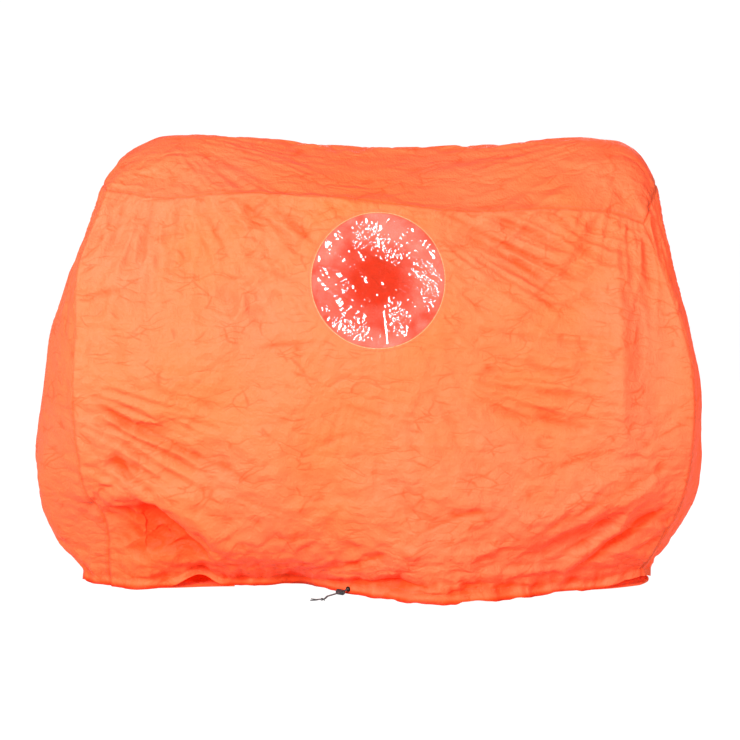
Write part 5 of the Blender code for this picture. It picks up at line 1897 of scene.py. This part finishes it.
@dataclass
class Tails:
    """The two cord tails from the eyelet through the lock to their knot, and the loose ends."""

    finishes: Finishes
    eyelet: Eyelet = Eyelet()
    straight: float = 0.054
    knot_distance: float = 0.070
    knot_loop: float = 0.00145
    end_length: float = 0.018
    end_splay: float = 0.35
    lead: float = 0.003
    gap: float = 0.0003
    flange: float = 0.0006
    braid: float = 0.00007

    def build(self) -> None:
        eyelet = self.eyelet
        radius = eyelet.cord_diameter / 2
        base, out = Vector(eyelet.base), Vector(eyelet.tail_out)
        beside = Vector(eyelet.tail_beside)
        knot_height = self.knot_loop + radius + self.gap
        knot = Vector((base.x, base.y, knot_height)) + out * self.knot_distance
        pieces = [self.knot(knot, beside, out), *self.ends(knot, out)]
        first_out = self.gap * 2 + self.flange
        stop = self.knot_distance - 3 * self.knot_loop - radius - self.gap
        for name, side in (("left", -1), ("right", 1)):
            shift = side * eyelet.cord_pitch / 2
            route = [eyelet.local(shift, way) for way in (first_out, first_out + self.lead)]
            for share in (0.0, 0.03, 0.06, 0.35, 0.65, 0.94, 0.97, 1.0):
                route.append(base + out * (self.straight * share) + beside * shift)
            end = base + out * stop + beside * shift
            end.z = knot.z
            route.append(end)
            path = smooth_route(route, 30)
            fine = smooth_route([Vector(p) for p in path], 240)
            mesh = tube_mesh(f"{name}_cord_tail", fine, radius, 16, braid=self.braid)
            tail = add_piece(f"{name}_cord_tail", mesh, self.finishes.cord,
                             replaces=(f"cord_tail_{name}",))

    def knot(self, middle: Vector, beside: Vector, out: Vector) -> Object:
        """The overhand knot that joins the tails."""
        turn = []
        for step in range(96):
            t = 2 * math.pi * step / 96
            x = math.sin(t) + 2 * math.sin(2 * t)
            y = math.cos(t) - 2 * math.cos(2 * t)
            turn.append(middle + (beside * x + out * y) * self.knot_loop
                        - Vector((0, 0, math.sin(3 * t))) * self.knot_loop)
        mesh = tube_mesh("tail_knot", np.array([tuple(p) for p in turn]),
                         self.eyelet.cord_diameter / 2, 16, closed=True, braid=self.braid)
        return add_piece("tail_knot", mesh, self.finishes.cord,
                         replaces=("cord_knot",))

    def ends(self, knot: Vector, out: Vector) -> list[Object]:
        """The two ends that splay beyond the knot, each closed at its tip."""
        radius = self.eyelet.cord_diameter / 2
        lobe = Matrix.Rotation(-math.pi / 3, 3, "Z") @ out
        lobe_side = Vector((-lobe.y, lobe.x, 0.0))
        made = []
        for name, side in (("left", -1), ("right", 1)):
            way = (lobe + lobe_side * (side * self.end_splay)).normalized()
            start = (knot + lobe * (3 * self.knot_loop + radius + self.gap)
                     + lobe_side * (side * self.eyelet.cord_pitch / 2))
            floor = Vector((0, 0, radius + self.gap - start.z))
            lead = start + lobe * self.lead
            route = [start, lead + floor * 0.3]
            route += [lead + way * (self.end_length * k / 3) + floor for k in (1, 2, 3)]
            mesh = tube_mesh(f"{name}_cord_end", smooth_route(route, 70), radius, 16,
                             braid=self.braid)
            made.append(add_piece(f"{name}_cord_end", mesh, self.finishes.cord,
                                  replaces=(f"cord_end_{name}",)))
        return made


@dataclass
class SeatFlaps:
    """The two ground flaps inside the ends, that the people sit on."""

    net: ClothNet
    finishes: Finishes
    inner_edge: float = 0.280
    edge_depth: float = 0.0040
    lines: int = 61
    lift: float = 0.0006
    waves: float = 0.0022
    wrinkles: float = 0.0016

    def build(self) -> None:
        """Makes both flaps as laid sheets with a few soft wrinkles."""
        share = np.linspace(0, 1, self.lines)
        inside = (eased(share * 12) * eased((1 - share) * 12))[None]
        for name, way, flat in (("left", -1, (0.35, 0.32)), ("right", 1, (0.34, 0.32))):
            near, far = (self.half_outline(way, side)[:, None] for side in LONG_SIDES)
            points = near * (1 - share[:, None]) + far * share[:, None]
            relief = 0.5 + 0.5 * noise_at(points, 0.07, 5.0 + way)
            fine = np.abs(noise_at(points, 0.03, 9.0 + way))
            points[..., 2] = self.lift + (self.waves * relief + self.wrinkles * fine) * inside
            if way > 0:
                points = points[:, ::-1]
            mesh = grid_mesh(f"{name}_ground_flap", points, points[..., :2])
            with edited(mesh) as bm:
                bmesh.ops.remove_doubles(bm, verts=bm.verts[:], dist=1e-5)
                for face in bm.faces:
                    if face.normal.z < 0:
                        face.normal_flip()
            flap = add_piece(f"{name}_ground_flap", mesh, self.finishes.floor_cloth,
                             replaces=(f"{name}_seat_flap",))

    def half_outline(self, way: int, side: Side) -> Array:
        """The hem's inside from the flap's straight edge round to the middle of the end."""
        end = Side.RIGHT if way > 0 else Side.LEFT
        long_wall, short = self.net.start[side][:, 0], self.net.start[end][:, 0]
        if (side is Side.FRONT) == (way < 0):
            long_wall = long_wall[::-1]
        if (side is Side.BACK) == (way > 0):
            short = short[::-1]
        walk = long_wall[long_wall[:, 0] * way > self.inner_edge]
        walk = walk[np.argsort(walk[:, 0] * way)]
        half = short[: len(short) // 2 + 1]
        line = np.vstack([walk, half[1:]])
        middle = np.array((way * self.inner_edge, 0.0, 0.0))
        line = line - unit(line - middle) * self.edge_depth
        line[:, 2] = 0.0
        run = run_along(line)
        return read_at(np.linspace(0, run[-1], self.lines), run, line)


@dataclass
class Studio:
    """The white studio: a camera at the photographed angle, soft lamps, floor and backdrop."""

    camera_place: tuple[float, float, float] = (0.003, -4.6, 1.0)
    tilt_down: float = 6.84
    focal: float = 106.5
    world: float = 0.19
    lamps_aim: tuple[float, float, float] = (0.0, 0.0, 0.45)

    def camera(self) -> None:
        """Puts the camera where the photograph was taken from."""
        data = bpy.data.cameras.new("studio_camera")
        data.lens = self.focal
        data.sensor_width = 36.0
        seat = placed("studio_camera", data)
        seat.location = self.camera_place
        seat.rotation_euler = (math.radians(90 - self.tilt_down), 0.0, 0.0)
        bpy.context.scene.camera = seat

    def lamps(self) -> None:
        """Soft lamps in front, above and behind."""
        lamps = (
            ("left_softbox", (-2.0, -3.7, 2.0), 1.5, 388.0),
            ("right_softbox", (2.8, -3.6, 1.3), 1.3, 150.0),
            ("back_softbox", (0.6, 3.2, 1.3), 1.8, 110.0),
        )
        for name, place, size, power in lamps:
            data = bpy.data.lights.new(name, "AREA")
            data.shape = "SQUARE"
            data.size = size
            data.energy = power
            lamp = placed(name, data)
            lamp.location = place
            aim = Vector(self.lamps_aim) - Vector(place)
            lamp.rotation_euler = aim.to_track_quat("-Z", "Y").to_euler()

    def room(self, finish: Material) -> None:
        """A floor that rises behind into a backdrop, all in one sweep."""
        steps = np.linspace(0, 1, 41)
        y = np.where(steps < 0.6, -7 + 12 * steps / 0.6, 5.0)
        bend = np.clip((steps - 0.6) / 0.2, 0, 1) * math.pi / 2
        y = y + 1.5 * np.sin(bend)
        z = 1.5 * (1 - np.cos(bend)) + np.clip((steps - 0.8) / 0.2, 0, 1) * 5.0
        x = np.linspace(-8, 8, 9)
        points = np.stack(np.broadcast_arrays(x[:, None], y[None], z[None] - 0.0002), axis=-1)
        sweep = placed("studio_sweep", grid_mesh("studio_sweep", points))
        sweep.data.materials.append(finish)

    def white(self) -> Material:
        """White paper that the camera sees as white, with part of the shadows on it."""
        made, add = new_material("white_paper_sweep")
        path = add("LightPath")
        grain = add("TexNoise", {"Scale": 900.0})
        tone = ramp(add, grain, ((0.3, "#B6B6B6"), (0.7, "#BCBCBC")))
        paper = add("BsdfDiffuse", links={"Color": tone})
        glow = add("Emission", {"Color": (1, 1, 1, 1), "Strength": 1.22})
        seen = add("Math", {"operation": "MAXIMUM"},
                   {0: path.outputs["Is Camera Ray"], 1: path.outputs["Is Glossy Ray"]})
        share = add("Math", {"operation": "MULTIPLY", 1: 0.80}, {0: seen})
        both = add("MixShader", links={0: share, 1: paper, 2: glow})
        add("OutputMaterial", links={"Surface": both})
        return made

    def sky(self) -> None:
        """A plain white world."""
        world = bpy.data.worlds.new("white_studio")
        world.use_nodes = True
        world.node_tree.nodes.clear()
        add = partial(add_node, world.node_tree)
        strength = add("Mix", {"data_type": "FLOAT", 2: self.world, 3: 1.0},
                       {0: add("LightPath").outputs["Is Camera Ray"]})
        back = add("Background", {"Color": (1, 1, 1, 1)}, {"Strength": strength})
        add("OutputWorld", links={"Surface": back})
        bpy.context.scene.world = world

    def build(self) -> None:
        """Sets the whole studio up."""
        self.lamps()
        self.room(self.white())
        self.sky()
        bpy.context.scene.view_settings.view_transform = "Standard"


def dress_frame(nodes: dict[str, Object], finishes: Finishes) -> None:
    """Gives the frame's own hard pieces their finishes.

    Args:
        nodes: the frame's nodes by name.
        finishes: the finishes.
    """
    wanted = {
        "cord_lock_barrel": finishes.plastic, "cord_lock_button": finishes.plastic,
        "cord_lock_spring": finishes.spring, "cord_eyelet": finishes.eyelet,
        "eyelet_washer": finishes.eyelet,
    }
    for name, finish in wanted.items():
        for slot in nodes[name].material_slots:
            slot.material = finish


def shorten_spring(spring: Object) -> None:
    """Gives the lock's spring a mesh of its own.

    Args:
        spring: the frame's spring.
    """
    corners = np.array([spring.matrix_world @ corner.co for corner in spring.data.vertices])
    along = corners @ np.array(PRESS_WAY)
    corners[along.argmax()].tolist()
    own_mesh(spring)


def main() -> None:
    """Builds the shelter and its studio."""
    logging.basicConfig(level=logging.INFO, format="%(message)s")
    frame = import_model()
    studio = Studio()
    studio.camera()
    finishes = Finishes.make()
    Tails(finishes).build()
    net = ClothNet(ShelterForm())
    net.build()
    panels = Panels(net, finishes).build()
    window = Window(net, finishes).build()
    seams = Seams(net, finishes).build()
    hem = Hem(net, finishes).build()
    SeatFlaps(net, finishes).build()
    dress_frame(frame["nodes"], finishes)
    shorten_spring(frame["nodes"]["cord_lock_spring"])
    studio.build()


if __name__ == "__main__":
    main()
